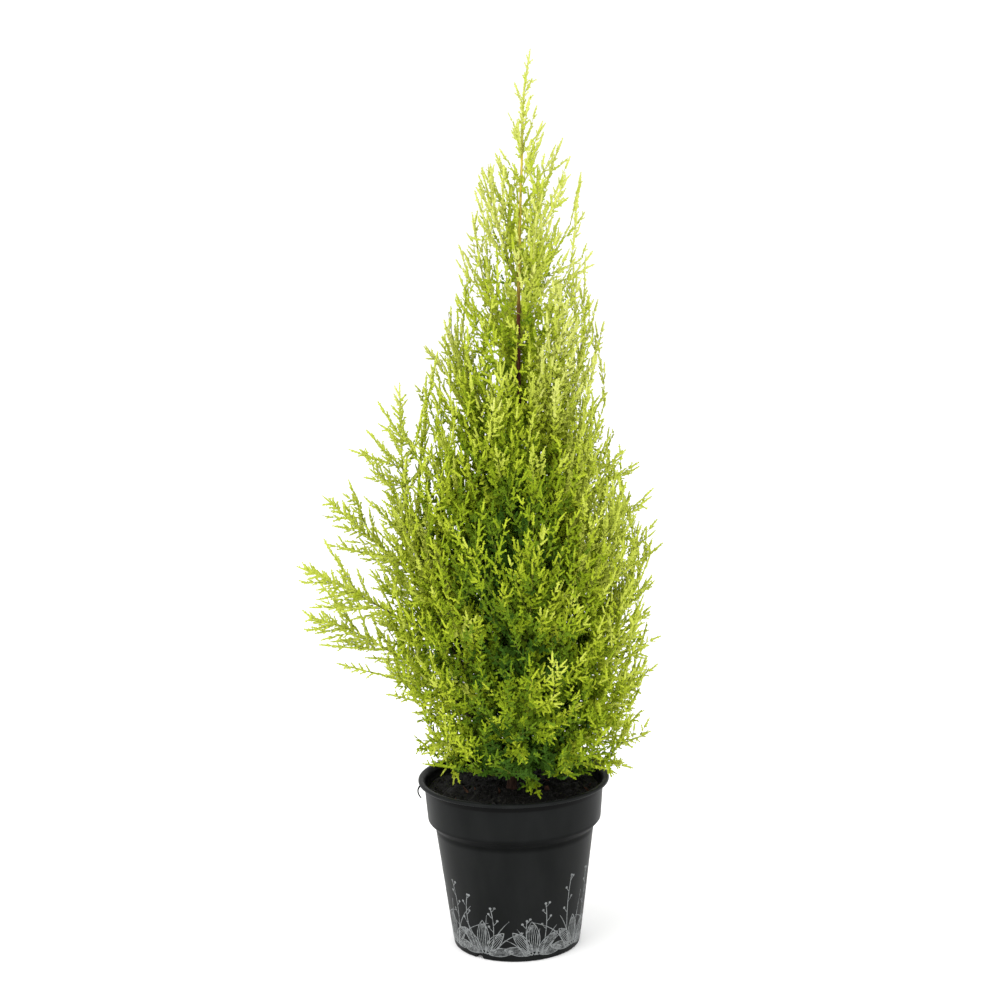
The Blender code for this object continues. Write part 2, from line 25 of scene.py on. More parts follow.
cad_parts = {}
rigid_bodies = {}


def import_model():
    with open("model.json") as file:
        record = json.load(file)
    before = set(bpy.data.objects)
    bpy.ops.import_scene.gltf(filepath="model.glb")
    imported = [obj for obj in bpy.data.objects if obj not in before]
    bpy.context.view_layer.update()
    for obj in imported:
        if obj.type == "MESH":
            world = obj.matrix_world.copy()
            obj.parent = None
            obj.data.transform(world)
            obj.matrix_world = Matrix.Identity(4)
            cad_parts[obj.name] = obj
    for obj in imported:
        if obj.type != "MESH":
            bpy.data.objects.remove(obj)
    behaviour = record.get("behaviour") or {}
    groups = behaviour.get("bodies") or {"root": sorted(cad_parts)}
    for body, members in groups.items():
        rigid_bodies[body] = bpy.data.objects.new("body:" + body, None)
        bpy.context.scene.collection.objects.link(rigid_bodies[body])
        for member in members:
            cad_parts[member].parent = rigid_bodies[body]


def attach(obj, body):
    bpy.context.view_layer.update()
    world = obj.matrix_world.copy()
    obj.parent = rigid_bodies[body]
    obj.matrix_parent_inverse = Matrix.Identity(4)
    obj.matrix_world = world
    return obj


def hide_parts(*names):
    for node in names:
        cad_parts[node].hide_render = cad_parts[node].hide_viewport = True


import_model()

log = logging.getLogger("potted_cypress")

Colour = tuple[float, float, float]
Place = tuple[float, float, float]
Places = tuple[Place, ...]
Pair = tuple[float, float]
Table = tuple[Pair, ...]
Array = np.ndarray

BODY = "root"
WHITE = EVEN = (1.0, 1.0, 1.0)
WHOLE = (0.0, 1.0)
GOLDEN_ANGLE = math.radians(137.508)
UP = np.array((0.0, 0.0, 1.0))

# Heights that the sub-assemblies share
SOIL_LEVEL = 0.142
POT_HEIGHT = 0.153
PLANT_TOP = 0.788
GAP = 0.0003

# Waves of the bark's and the soil's relief, as frequency and height
BARK_WAVES = ((1.0, 0.7), (2.7, 0.45))
SOIL_WAVES = ((1.0, 1.0), (2.3, 0.6), (5.1, 0.4))


class Slot(Enum):
    """The record's material slots."""

    POT = "pot_plastic"
    SOIL = "soil"
    BARK = "bark"
    FOLIAGE = "foliage"
    TIP = "foliage_tip"


def mix(low: float, high: float, share: float) -> float:
    """Value at a share of the way from low to high."""
    return low + (high - low) * share


def unit(vector: Array) -> Array:
    """Vector of length one in the same direction."""
    return vector / max(float(np.linalg.norm(vector)), 1e-9)


def spoke(around: float) -> Array:
    """Level vector of length one at an angle, counter-clockwise from +X."""
    return np.array((math.cos(around), math.sin(around), 0.0))


def read(table: Sequence[Pair], places: object) -> object:
    """Value of a table at a place, or at many, on straight lines between its rows."""
    return np.interp(places, *zip(*table))


def roughness(spot: Vector, waves: Table) -> float:
    """Height of a rough surface at a spot, from waves of a frequency and a height each."""
    return sum(height * noise.noise(spot * frequency) for frequency, height in waves)


@dataclass
class Shell:
    """Vertices and faces of a mesh being built."""

    vertices: list = field(default_factory=list)
    faces: list = field(default_factory=list)

    def add(self, vertices: Sequence, faces: Iterable[Sequence[int]]) -> None:
        """Add a part.

        Args:
            vertices: Its points.
            faces: Its faces, which count from its own first point.
        """
        first = len(self.vertices)
        self.vertices.extend(vertices)
        self.faces.extend(tuple(first + vertex for vertex in face) for face in faces)


def make_object(name: str, vertices: Sequence, faces: Sequence, edges: Sequence = ()) -> Object:
    """Link a new mesh object.

    Args:
        name: Name of the object and its mesh.
        vertices: Points in metres.
        faces: Vertex indices of each face, which point outwards.
        edges: Loose edges, for meshes that become curves.

    Returns:
        The linked object, at the origin.
    """
    mesh = bpy.data.meshes.new(name)
    mesh.from_pydata([tuple(vertex) for vertex in vertices], list(edges), list(faces))
    mesh.update()
    thing = bpy.data.objects.new(name, mesh)
    bpy.context.scene.collection.objects.link(thing)
    return thing


def drop_object(thing: Object) -> None:
    """Remove an object with its mesh."""
    bpy.data.meshes.remove(thing.data)


def plain_copy(thing: Object) -> Object:
    """Turn an object with modifiers into a plain mesh of the same name.

    Args:
        thing: Object whose modifiers are still live. It is removed.

    Returns:
        A new object that holds the evaluated mesh.
    """
    name = thing.name
    evaluated = thing.evaluated_get(bpy.context.evaluated_depsgraph_get())
    mesh = bpy.data.meshes.new_from_object(evaluated)
    drop_object(thing)
    mesh.name = name
    copy = bpy.data.objects.new(name, mesh)
    bpy.context.scene.collection.objects.link(copy)
    return copy


def triangle_count(thing: Object) -> int:
    """Number of triangles that an object's faces make."""
    return sum(len(polygon.vertices) - 2 for polygon in thing.data.polygons)


def seat(piece: Object, slot: Slot, nodes: Iterable[str] = ()) -> None:
    """Tie a finished piece to the frame and report it.

    Args:
        piece: The finished object.
        slot: Material slot of the record, which is only named in the report.
        nodes: Nodes of the frame that it stands for.
    """
    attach(piece, BODY)
    if nodes:
        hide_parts(*nodes)
    log.info("%s: %d triangles, slot %s", piece.name, triangle_count(piece), slot.value)


class Nodes:
    """A node tree being built, with short ways to add nodes."""

    def __init__(self, tree: NodeTree) -> None:
        """Hold the tree."""
        self.tree = tree

    def feed(self, target: NodeSocket, value: object) -> None:
        """Set an input, or link it if the value is a socket.

        Args:
            target: The input.
            value: A socket, number, vector or colour.
        """
        if isinstance(value, NodeSocket):
            self.tree.links.new(value, target)
        else:
            target.default_value = value

    def add(self, kind: str, settings: Optional[dict] = None, **inputs: object) -> Node:
        """Add a node, set its properties, and set or link its inputs.

        Args:
            kind: Node type, such as GeometryNodeRealizeInstances.
            settings: Node properties.
            **inputs: Input values or sockets, with underscores for spaces.

        Returns:
            The new node.
        """
        node = self.tree.nodes.new(kind)
        for key, value in (settings or {}).items():
            setattr(node, key, value)
        for key, value in inputs.items():
            name = key.replace("_", " ")
            sockets = [socket for socket in node.inputs if socket.name == name and socket.enabled]
            self.feed(sockets[0], value)
        return node


class Mixer(Nodes):
    """A material being mixed, with its shader and short ways to add textures."""

    def __init__(self, name: str) -> None:
        """Start a material with a Principled shader.

        Args:
            name: Name of the material.
        """
        self.material = bpy.data.materials.new(name)
        self.material.use_nodes = True
        super().__init__(self.material.node_tree)
        self.shader = self.tree.nodes["Principled BSDF"]

    def set(self, **values: object) -> None:
        """Set or link the shader's inputs.

        Args:
            **values: Numbers, colours or sockets, with underscores for spaces.
        """
        for key, value in values.items():
            full = (*value, 1.0) if isinstance(value, tuple) else value
            self.feed(self.shader.inputs[key.replace("_", " ")], full)

    @cached_property
    def place(self) -> NodeSocket:
        """Object coordinates, from one shared node."""
        return self.add("ShaderNodeTexCoord").outputs["Object"]

    @cached_property
    def height(self) -> NodeSocket:
        """Height above the ground, from one shared node."""
        return self.add("ShaderNodeSeparateXYZ", Vector=self.place).outputs["Z"]

    def noise(self, scale: float, detail: float, stretch: Place = EVEN) -> NodeSocket:
        """Noise value at a place.

        Args:
            scale: Spots per metre.
            detail: Octaves.
            stretch: Factors on the three axes before the noise is read.

        Returns:
            Socket with the noise's value.
        """
        place = self.place
        if stretch != EVEN:
            place = self.add("ShaderNodeMapping", Vector=place, Scale=stretch).outputs["Vector"]
        return self.add("ShaderNodeTexNoise", Vector=place, Scale=scale, Detail=detail).outputs["Fac"]

    def away(self) -> NodeSocket:
        """Distance from the upright axis.

        Returns:
            Socket with the distance in metres.
        """
        flat = self.add("ShaderNodeVectorMath", {"operation": "MULTIPLY"}, Vector=self.place)
        flat.inputs[1].default_value = (1.0, 1.0, 0.0)
        length = self.add("ShaderNodeVectorMath", {"operation": "LENGTH"}, Vector=flat.outputs[0])
        return length.outputs["Value"]

    def ramp(self, value: NodeSocket, *stops: tuple[float, Colour]) -> NodeSocket:
        """Colour ramp over a value.

        Args:
            value: Socket that it reads.
            *stops: Position and colour of each stop.

        Returns:
            Socket with the colour.
        """
        node = self.add("ShaderNodeValToRGB", Fac=value)
        elements = node.color_ramp.elements
        while len(elements) < len(stops):
            elements.new(0.5)
        for element, (position, colour) in zip(elements, stops):
            element.position = position
            element.color = (*colour, 1.0)
        return node.outputs["Color"]

    def spread(self, value: NodeSocket, source: Pair, target: Pair = WHOLE) -> NodeSocket:
        """Map a value from one range to another."""
        ends = dict(zip(("From_Min", "From_Max", "To_Min", "To_Max"), source + target))
        return self.add("ShaderNodeMapRange", Value=value, **ends).outputs["Result"]

    def times(self, one: NodeSocket, other: NodeSocket, share: object = 1.0) -> NodeSocket:
        """Product of two colours, of which the second one counts for a share."""
        node = self.add("ShaderNodeMix", {"data_type": "RGBA", "blend_type": "MULTIPLY"}, Factor=share,
                        A=one, B=other)
        return next(socket for socket in node.outputs if socket.type == "RGBA")

    def bump(self, height: NodeSocket, distance: float, strength: float) -> None:
        """Feed the normal from a height, with a distance in metres."""
        node = self.add("ShaderNodeBump", Height=height, Distance=distance, Strength=strength)
        self.set(Normal=node.outputs["Normal"])


@dataclass(frozen=True)
class PlasticFinish:
    """Matt black moulded plastic with a thin film of dust, painted shade under the collar, in the throat and
    just under the lip, and a painted highlight on the lip's top.
    """

    dark: Colour = (0.0052, 0.0059, 0.0058)
    dusty: Colour = (0.0095, 0.0103, 0.0102)
    # shade: painted shade, the colour factor over the band under the collar (the shaded heights)
    shade: Colour = (0.55, 0.55, 0.55)
    dull: Colour = (0.4, 0.4, 0.4)
    shaded: Pair = (0.1035, 0.119)
    # Painted shade in the throat and just under the lip, and a painted highlight (lip) on the lip's rounded
    # top, by radius above the rim heights
    throat_painted_shade: Colour = (0.22, 0.22, 0.22)
    lip: Colour = (1.2, 1.2, 1.2)
    rim_paint_heights: Pair = (0.1438, 0.145)
    rim_paint_radii: Pair = (0.0815, 0.0832)
    rough: Pair = (0.36, 0.48)
    gloss: float = 0.07

    def make(self) -> Material:
        """Mix the plastic.

        Returns:
            The material.
        """
        mixer = Mixer("pot_plastic_black")
        dust = mixer.noise(38.0, 6.0, (1.0, 1.0, 0.35))
        plastic = mixer.ramp(dust, (0.38, self.dark), (0.7, self.dusty))
        # Painted shade: the colour is darkened over the band under the collar
        share = mixer.spread(mixer.height, self.shaded)
        shade = mixer.ramp(share, (0.0, WHITE), (0.3, self.shade), (0.7, self.shade), (1.0, WHITE))
        # Painted light and shade at the rim: darker inside the throat, lighter on the lip's top
        rim = mixer.ramp(mixer.spread(mixer.away(), self.rim_paint_radii), (0.0, self.throat_painted_shade), (1.0, self.lip))
        high = mixer.spread(mixer.height, self.rim_paint_heights)
        colour = mixer.times(mixer.times(plastic, shade), rim, high)
        mixer.set(Base_Color=colour, Roughness=mixer.spread(dust, (0.3, 0.7), self.rough))
        mixer.bump(mixer.noise(900.0, 3.0), 0.00012, 0.35)
        sheen = mixer.ramp(share, (0.0, WHITE), (0.2, self.dull), (0.8, self.dull), (1.0, WHITE))
        mixer.set(Specular_IOR_Level=mixer.spread(sheen, WHOLE, (0.0, self.gloss)))
        return mixer.material


@dataclass(frozen=True)
class InkFinish:
    """Silver-grey screen print, a little worn."""

    ink: Colour = (0.2, 0.211, 0.211)
    worn: Colour = (0.085, 0.09, 0.09)
    rough: float = 0.48

    def make(self) -> Material:
        """Mix the ink.

        Returns:
            The material.
        """
        mixer = Mixer("pot_print_ink")
        wear = mixer.noise(420.0, 5.0)
        ink = mixer.ramp(wear, (0.36, self.worn), (0.52, self.ink))
        mixer.bump(wear, 0.00004, 0.3)
        mixer.set(Base_Color=ink, Roughness=self.rough, Specular_IOR_Level=0.3)
        return mixer.material


@dataclass(frozen=True)
class EarthFinish:
    """Damp peaty potting soil, or a bit of bark in it, in a dark and a light tone."""

    name: str
    dark: Colour
    light: Colour
    grain: float = 420.0
    relief: float = 0.0007

    def make(self) -> Material:
        """Mix the soil.

        Returns:
            The material.
        """
        mixer = Mixer(self.name)
        clumps = mixer.noise(self.grain, 6.0)
        earth = mixer.ramp(clumps, (0.35, self.dark), (0.68, self.light))
        mixer.set(Base_Color=earth, Specular_IOR_Level=0.3,
                  Roughness=mixer.spread(clumps, (0.3, 0.7), (0.95, 0.72)))
        mixer.bump(mixer.noise(self.grain * 2.4, 5.0), self.relief, 0.7)
        return mixer.material


@dataclass(frozen=True)
class BarkFinish:
    """Thin bark, brown on old wood and turning yellow-green on the young top."""

    name: str
    low: Colour
    brown: Colour
    green: Colour
    heights: tuple[float, ...] = (0.15, 0.48, 0.562, 0.612)

    def make(self) -> Material:
        """Mix the bark: colour by height, fissures along the wood.

        Returns:
            The material.
        """
        mixer = Mixer(self.name)
        share = mixer.spread(mixer.height, (0.0, PLANT_TOP))
        colours = (self.low, self.low, self.brown, self.green)
        levels = [level / PLANT_TOP for level in self.heights]
        tone = mixer.ramp(share, *zip(levels, colours))
        grain = mixer.noise(700.0, 6.0, (1.0, 1.0, 0.18))
        shade = mixer.ramp(grain, (0.34, (0.45, 0.42, 0.4)), (0.66, (1.25, 1.22, 1.15)))
        mixer.set(Base_Color=mixer.times(tone, shade), Specular_IOR_Level=0.3,
                  Roughness=mixer.spread(grain, (0.3, 0.7), (0.9, 0.65)))
        mixer.bump(grain, 0.0004, 0.6)
        return mixer.material


@dataclass(frozen=True)
class LeafFinish:
    """One plain tone of soft needles, without a pattern, dealt out by spray."""

    name: str
    colour: Colour
    rough: float = 0.6
    gloss: float = 0.08

    def make(self) -> Material:
        """Mix the tone.

        Returns:
            The material.
        """
        mixer = Mixer(self.name)
        mixer.set(Base_Color=self.colour, Roughness=self.rough, Specular_IOR_Level=self.gloss)
        return mixer.material


class Tree(Nodes):
    """A Geometry Nodes tree being built, with named inputs."""

    def __init__(self, name: str, **inputs: str) -> None:
        """Start a tree.

        Args:
            name: Name of the tree.
            **inputs: Type of each named input, such as Float.
        """
        super().__init__(bpy.data.node_groups.new(name, "GeometryNodeTree"))
        interface = self.tree.interface
        interface.new_socket("Geometry", in_out="OUTPUT", socket_type="NodeSocketGeometry")
        self.keys: dict[str, str] = {}
        for key, kind in {"Geometry": "Geometry", **inputs}.items():
            socket = interface.new_socket(key, in_out="INPUT", socket_type="NodeSocket" + kind)
            self.keys[key] = socket.identifier
        self.source = self.tree.nodes.new("NodeGroupInput")
        self.target = self.tree.nodes.new("NodeGroupOutput")

    def input(self, name: str) -> NodeSocket:
        """Socket of a named input."""
        return self.source.outputs[name]

    def attribute(self, name: str, kind: str) -> NodeSocket:
        """Named attribute of a data type."""
        node = self.add("GeometryNodeInputNamedAttribute", {"data_type": kind}, Name=name)
        return next(socket for socket in node.outputs if socket.name == "Attribute" and socket.enabled)

    def close(self, geometry: NodeSocket) -> None:
        """End the tree in Realize Instances and Set Material."""
        real = self.add("GeometryNodeRealizeInstances", Geometry=geometry).outputs[0]
        self.feed(self.target.inputs[0], self.add("GeometryNodeSetMaterial", Geometry=real,
                                                  Material=self.input("Material")).outputs[0])

    def run(self, thing: Object, **values: object) -> Object:
        """Run the tree on an object and return the result as a plain mesh.

        Args:
            thing: The object that carries the points or lines. It is removed.
            **values: Value of each named input.

        Returns:
            A plain mesh object of the same name.
        """
        modifier = thing.modifiers.new(self.tree.name, "NODES")
        modifier.node_group = self.tree
        for key, value in values.items():
            modifier[self.keys[key]] = value
        return plain_copy(thing)


def shoot_tree() -> Tree:
    """Tree that sets a needled shoot on every point, turned and scaled by its attributes.

    Returns:
        The tree.
    """
    tree = Tree("needled_shoots", Shoots="Collection", Thickness="Float", Material="Material")
    shoots = tree.add("GeometryNodeCollectionInfo", Collection=tree.input("Shoots"), Separate_Children=True,
                      Reset_Children=True)
    size = tree.attribute("size", "FLOAT")
    thick = tree.add("ShaderNodeMath", {"operation": "MULTIPLY"})
    tree.feed(thick.inputs[0], size)
    tree.feed(thick.inputs[1], tree.input("Thickness"))
    scale = tree.add("ShaderNodeCombineXYZ", X=thick.outputs[0], Y=thick.outputs[0], Z=size)
    turn = tree.add("FunctionNodeEulerToRotation", Euler=tree.attribute("turn", "FLOAT_VECTOR"))
    put = tree.add("GeometryNodeInstanceOnPoints", Points=tree.input("Geometry"), Instance=shoots.outputs[0],
                   Pick_Instance=True, Instance_Index=tree.attribute("kind", "INT"),
                   Rotation=turn.outputs[0], Scale=scale.outputs[0])
    tree.close(put.outputs[0])
    return tree


def twig_tree() -> Tree:
    """Tree that gives lines of loose edges a round body by their thickness attribute.

    Returns:
        The tree.
    """
    tree = Tree("round_twigs", Sides="Int", Material="Material")
    line = tree.add("GeometryNodeMeshToCurve", Mesh=tree.input("Geometry"))
    ring = tree.add("GeometryNodeCurvePrimitiveCircle", Resolution=tree.input("Sides"), Radius=1.0)
    thick = tree.attribute("thick", "FLOAT")
    sized = tree.add("GeometryNodeSetCurveRadius", Curve=line.outputs[0], Radius=thick)
    body = tree.add("GeometryNodeCurveToMesh", Curve=sized.outputs[0], Profile_Curve=ring.outputs[0],
                    Fill_Caps=True)
    if "Scale" in body.inputs:
        tree.feed(body.inputs["Scale"], thick)
    smooth = tree.add("GeometryNodeSetShadeSmooth", Geometry=body.outputs[0], Shade_Smooth=True)
    tree.close(smooth.outputs[0])
    return tree


def scatter_tree() -> Tree:
    """Tree that scatters small bits over a surface, turned and scaled at random.

    Returns:
        The tree.
    """
    tree = Tree("scattered_bits", Bits="Collection", Density="Float", Smallest="Float", Largest="Float",
                Seed="Int", Material="Material")
    seed = tree.input("Seed")
    points = tree.add("GeometryNodeDistributePointsOnFaces", Mesh=tree.input("Geometry"),
                      Density=tree.input("Density"), Seed=seed)
    bits = tree.add("GeometryNodeCollectionInfo", Collection=tree.input("Bits"), Separate_Children=True,
                    Reset_Children=True)
    turn = tree.add("FunctionNodeRandomValue", {"data_type": "FLOAT_VECTOR"}, Min=(0.0, 0.0, 0.0),
                    Max=(math.tau, math.tau, math.tau), Seed=seed)
    spin = tree.add("FunctionNodeEulerToRotation", Euler=turn.outputs["Value"])
    size = tree.add("FunctionNodeRandomValue", {"data_type": "FLOAT"}, Min=tree.input("Smallest"),
                    Max=tree.input("Largest"), Seed=seed)
    value = next(socket for socket in size.outputs if socket.enabled)
    put = tree.add("GeometryNodeInstanceOnPoints", Points=points.outputs["Points"], Instance=bits.outputs[0],
                   Pick_Instance=True, Rotation=spin.outputs[0], Scale=value)
    tree.close(put.outputs[0])
    return tree


def hidden_group(name: str, things: Iterable[Object]) -> Collection:
    """Move objects to a collection that only the node trees see.

    Args:
        name: Name of the collection.
        things: The objects.

    Returns:
        The collection.
    """
    group = bpy.data.collections.new(name)
    for thing in things:
        group.objects.link(thing)
        bpy.context.scene.collection.objects.unlink(thing)
    return group


def drop_group(group: Collection) -> None:
    """Remove a collection and its objects.

    Args:
        group: The collection.
    """
    for thing in list(group.objects):
        drop_object(thing)
    bpy.data.collections.remove(group)


def turned_mesh(name: str, profile: Sequence[Pair], segments: int,
                rise: Optional[Callable[[float, float, float], float]] = None) -> Object:
    """A closed turned body.

    Args:
        name: Name of the object.
        profile: Radius and height of each ring, from the axis below to the axis above.
        segments: Facets around.
        rise: Extra height at x, y and z, for a rough surface.

    Returns:
        The object, with its faces pointing outwards.
    """
    vertices = [Vector((0.0, 0.0, profile[0][1]))]
    for radius, height in profile[1:-1]:
        for segment in range(segments):
            around = math.tau * segment / segments
            vertices.append(Vector((radius * math.cos(around), radius * math.sin(around), height)))
    vertices.append(Vector((0.0, 0.0, profile[-1][1])))
    if rise:
        for vertex in vertices:
            vertex.z += rise(*vertex)
    last = len(vertices) - 1
    top = 1 + (len(profile) - 3) * segments
    faces = []
    for segment in range(segments):
        after = (segment + 1) % segments
        faces.append((0, 1 + after, 1 + segment))
        faces.append((last, top + segment, top + after))
        for ring in range(len(profile) - 3):
            low = 1 + ring * segments
            high = low + segments
            faces.append((low + segment, low + after, high + after, high + segment))
    return make_object(name, vertices, faces)


def arc(centre: Pair, radius: float, start: float, end: float, steps: int) -> list[Pair]:
    """Points of an arc in a profile, from a start to an end angle in degrees."""
    angles = [math.radians(mix(start, end, step / steps)) for step in range(steps + 1)]
    return [(centre[0] + radius * math.cos(angle), centre[1] + radius * math.sin(angle)) for angle in angles]


def face_outwards(thing: Object) -> None:
    """Turn an object's faces outwards.

    Args:
        thing: The object.
    """
    mesh = bmesh.new()
    mesh.from_mesh(thing.data)
    bmesh.ops.recalc_face_normals(mesh, faces=mesh.faces)
    mesh.to_mesh(thing.data)
    mesh.free()


def tube_mesh(rings: Sequence[Sequence[Array]]) -> tuple[list, list]:
    """Vertices and faces of a closed tube through rings of points.

    Args:
        rings: Rings of as many points each.

    Returns:
        Vertices and faces, with both ends closed.
    """
    sides = len(rings[0])
    vertices = [tuple(point) for ring in rings for point in ring]
    faces = []
    for ring in range(len(rings) - 1):
        low, high = ring * sides, (ring + 1) * sides
        for side in range(sides):
            after = (side + 1) % sides
            faces.append((low + side, low + after, high + after, high + side))
    faces.append(tuple(reversed(range(sides))))
    faces.append(tuple(range((len(rings) - 1) * sides, len(rings) * sides)))
    return vertices, faces


@dataclass
class Pot:
    """The thin-walled nursery pot: wall, collar, rolled lip, drain notches and a loose strand."""

    rim_radius: float = 0.085
    foot_radius: float = 0.0567
    foot_round: float = 0.002
    body_top: Pair = (0.0708, 0.1095)
    collar_foot: Pair = (0.0771, 0.1162)
    collar_top_radius: float = 0.0797
    lip_depth: float = 0.0035
    throat_width: float = 0.0038
    throat_depth: float = 0.0078
    wall: float = 0.0014
    floor: float = 0.0018
    segments: int = 144
    notch_count: int = 3
    notch_start: float = math.radians(233)
    notch_width: float = 0.0085
    notch_height: float = 0.0036
    slot_width: float = 0.0011
    slot_top: float = 0.013
    slot_depth: float = 0.0005
    cut_reach: float = 0.008
    body_edge: Table = ((-0.0001, -0.0012), (0.0002, 0.0), (0.0012, 0.0014))
    collar_edge: Table = ((-0.001, -0.0013), (-0.0001, 0.0), (0.0001, 0.0012))
    collar_end: float = 0.005
    lip_fillet: float = 0.0012
    inner_heights: tuple[float, ...] = (0.144, 0.136, 0.127, 0.118, 0.1095, 0.07)
    floor_round: float = 0.002
    strand_radii: Pair = (0.00085, 0.0005)
    strand_route: Places = (
        (-0.0822, -0.0175, 0.1515), (-0.084, -0.0168, 0.149), (-0.0849, -0.016, 0.1458),
        (-0.0842, -0.0158, 0.1424), (-0.0822, -0.016, 0.1392),
    )

    def wall_radius(self, height: float) -> float:
        """Outer radius of the tapering body at a height."""
        share = (height - self.foot_round) / (self.body_top[1] - self.foot_round)
        return mix(self.foot_radius, self.body_top[0], share)

    def inner_radius(self, height: float) -> float:
        """Radius of the pot's inside at a height."""
        walls = ((self.floor, self.foot_radius), self.body_top[::-1], self.collar_foot[::-1],
                 (POT_HEIGHT, self.collar_top_radius))
        return float(read(walls, height)) - self.wall

    def outside(self) -> list[Pair]:
        """Profile of the outer wall from the underside's centre to the lip's inner edge.

        Returns:
            Radius and height of each point.
        """
        lip = self.lip_depth / 2.0
        fillet = self.lip_fillet
        body_x, body_z = self.body_top
        collar_x, collar_z = self.collar_foot
        top_x, top_z = self.collar_top_radius, POT_HEIGHT - self.collar_end
        heights = [mix(self.foot_round, body_z, step / 12) for step in range(1, 12)]
        profile = [(0.0, 0.0), (self.foot_radius * 0.7, 0.0)]
        profile += arc((self.foot_radius - self.foot_round, self.foot_round), self.foot_round, -90.0, 0.0, 5)
        profile += [(self.wall_radius(height), height) for height in heights]
        profile += [(body_x + x, body_z + z) for x, z in self.body_edge]
        profile += [(collar_x + x, collar_z + z) for x, z in self.collar_edge]
        profile += [(mix(collar_x, top_x, step / 8), mix(collar_z, top_z, step / 8)) for step in range(1, 8)]
        profile += arc((top_x + fillet, POT_HEIGHT - self.lip_depth - fillet), fillet, 180.0, 90.0, 4)
        profile += arc((self.rim_radius - lip, POT_HEIGHT - lip), lip, -80.0, 90.0, 12)
        for step in range(1, 9):
            angle = math.radians(90.0 + step * 90.0 / 8)
            profile.append((top_x - self.wall + self.throat_width * (1.0 + math.cos(angle)),
                            POT_HEIGHT - self.throat_depth * (1.0 - math.sin(angle))))
        return profile

    def profile(self) -> list[Pair]:
        """Whole closed profile of the wall.

        Returns:
            Radius and height of each point.
        """
        low = self.floor + self.floor_round
        inside = [(self.inner_radius(height), height) for height in (*self.inner_heights, low)]
        floor_edge = self.inner_radius(self.floor) - self.floor_round
        return self.outside() + inside + [(floor_edge, self.floor), (0.0, self.floor)]

    def cutter(self, name: str, around: float, outline: Sequence[Pair], near: float, far: float) -> Object:
        """Prism that cuts the wall.

        Args:
            name: Name of the object.
            around: Angle of its middle, counter-clockwise from +X.
            outline: Points across and up.
            near: Radius where it starts.
            far: Radius where it ends.

        Returns:
            The cutter.
        """
        turn = Matrix.Rotation(around, 3, "Z")
        rings = [[turn @ Vector((reach, across, height)) for across, height in outline]
                 for reach in (far, near)]
        cutter = make_object(name, *tube_mesh(rings))
        face_outwards(cutter)
        return cutter

    def cutters(self) -> list[Object]:
        """The arched drain notches and the shallow slots above them.

        Returns:
            The cutters, by pairs.
        """
        made = []
        half = self.notch_width / 2.0
        arch = [(-half, -0.002), (half, -0.002)]
        arch += [(half * math.cos(angle), self.notch_height * (0.45 + 0.55 * math.sin(angle)))
                 for angle in np.linspace(0.0, math.pi, 13)]
        slot_half = self.slot_width / 2.0
        slot = [(-slot_half, 0.0), (slot_half, 0.0), (slot_half, self.slot_top),
                (0.0, self.slot_top + slot_half), (-slot_half, self.slot_top)]
        far = self.foot_radius + self.cut_reach
        for index in range(self.notch_count):
            around = self.notch_start + math.tau * index / self.notch_count
            made.append(self.cutter(f"notch_{index}", around, arch, self.foot_radius - self.cut_reach, far))
            made.append(self.cutter(f"slot_{index}", around, slot, self.foot_radius - self.slot_depth, far))
        return made

    def build(self) -> Object:
        """Turn the wall and cut its notches and slots.

        Returns:
            The pot.
        """
        pot = turned_mesh("pot_shape", self.profile(), self.segments)
        cutters = self.cutters()
        for cutter in cutters:
            cut = pot.modifiers.new(cutter.name, "BOOLEAN")
            cut.operation = "DIFFERENCE"
            cut.solver = "EXACT"
            cut.object = cutter
        pot.name = "nursery_pot"
        pot = plain_copy(pot)
        for cutter in cutters:
            drop_object(cutter)
        pot.data.shade_smooth()
        pot.data.set_sharp_from_angle(angle=math.radians(38))
        return pot

    def strand(self) -> Object:
        """The thin strand of loose plastic that hangs off the left of the lip.

        Returns:
            The strand.
        """
        points = smooth_route([np.array(point) for point in self.strand_route], 5)
        radii = np.linspace(*self.strand_radii, len(points))
        strand = make_object("loose_strand", *tube_mesh(tube_rings(points, radii, 8)))
        strand.data.shade_smooth()
        return strand

    def dress(self, finish: PlasticFinish) -> None:
        """Build the pot's own pieces and give them their plastic.

        Args:
            finish: The plastic.
        """
        plastic = finish.make()
        for piece, nodes in ((self.build(), ("pot",)), (self.strand(), ())):
            piece.data.materials.clear()
            piece.data.materials.append(plastic)
            seat(piece, Slot.POT, nodes)


def smooth_route(points: Sequence[Array], steps: int) -> list[Array]:
    """Points of a smooth curve through a few route points, with steps between each two.

    Args:
        points: The route's points.
        steps: Steps between each two.

    Returns:
        The curve's points.
    """
    ends = [2 * points[0] - points[1], *points, 2 * points[-1] - points[-2]]
    smooth = []
    for index in range(len(points) - 1):
        a, b, c, d = ends[index:index + 4]
        for step in range(steps):
            t = step / steps
            smooth.append(0.5 * (2 * b + (c - a) * t + (2 * a - 5 * b + 4 * c - d) * t ** 2
                                 + (3 * b - a - 3 * c + d) * t ** 3))
    return smooth + [points[-1]]


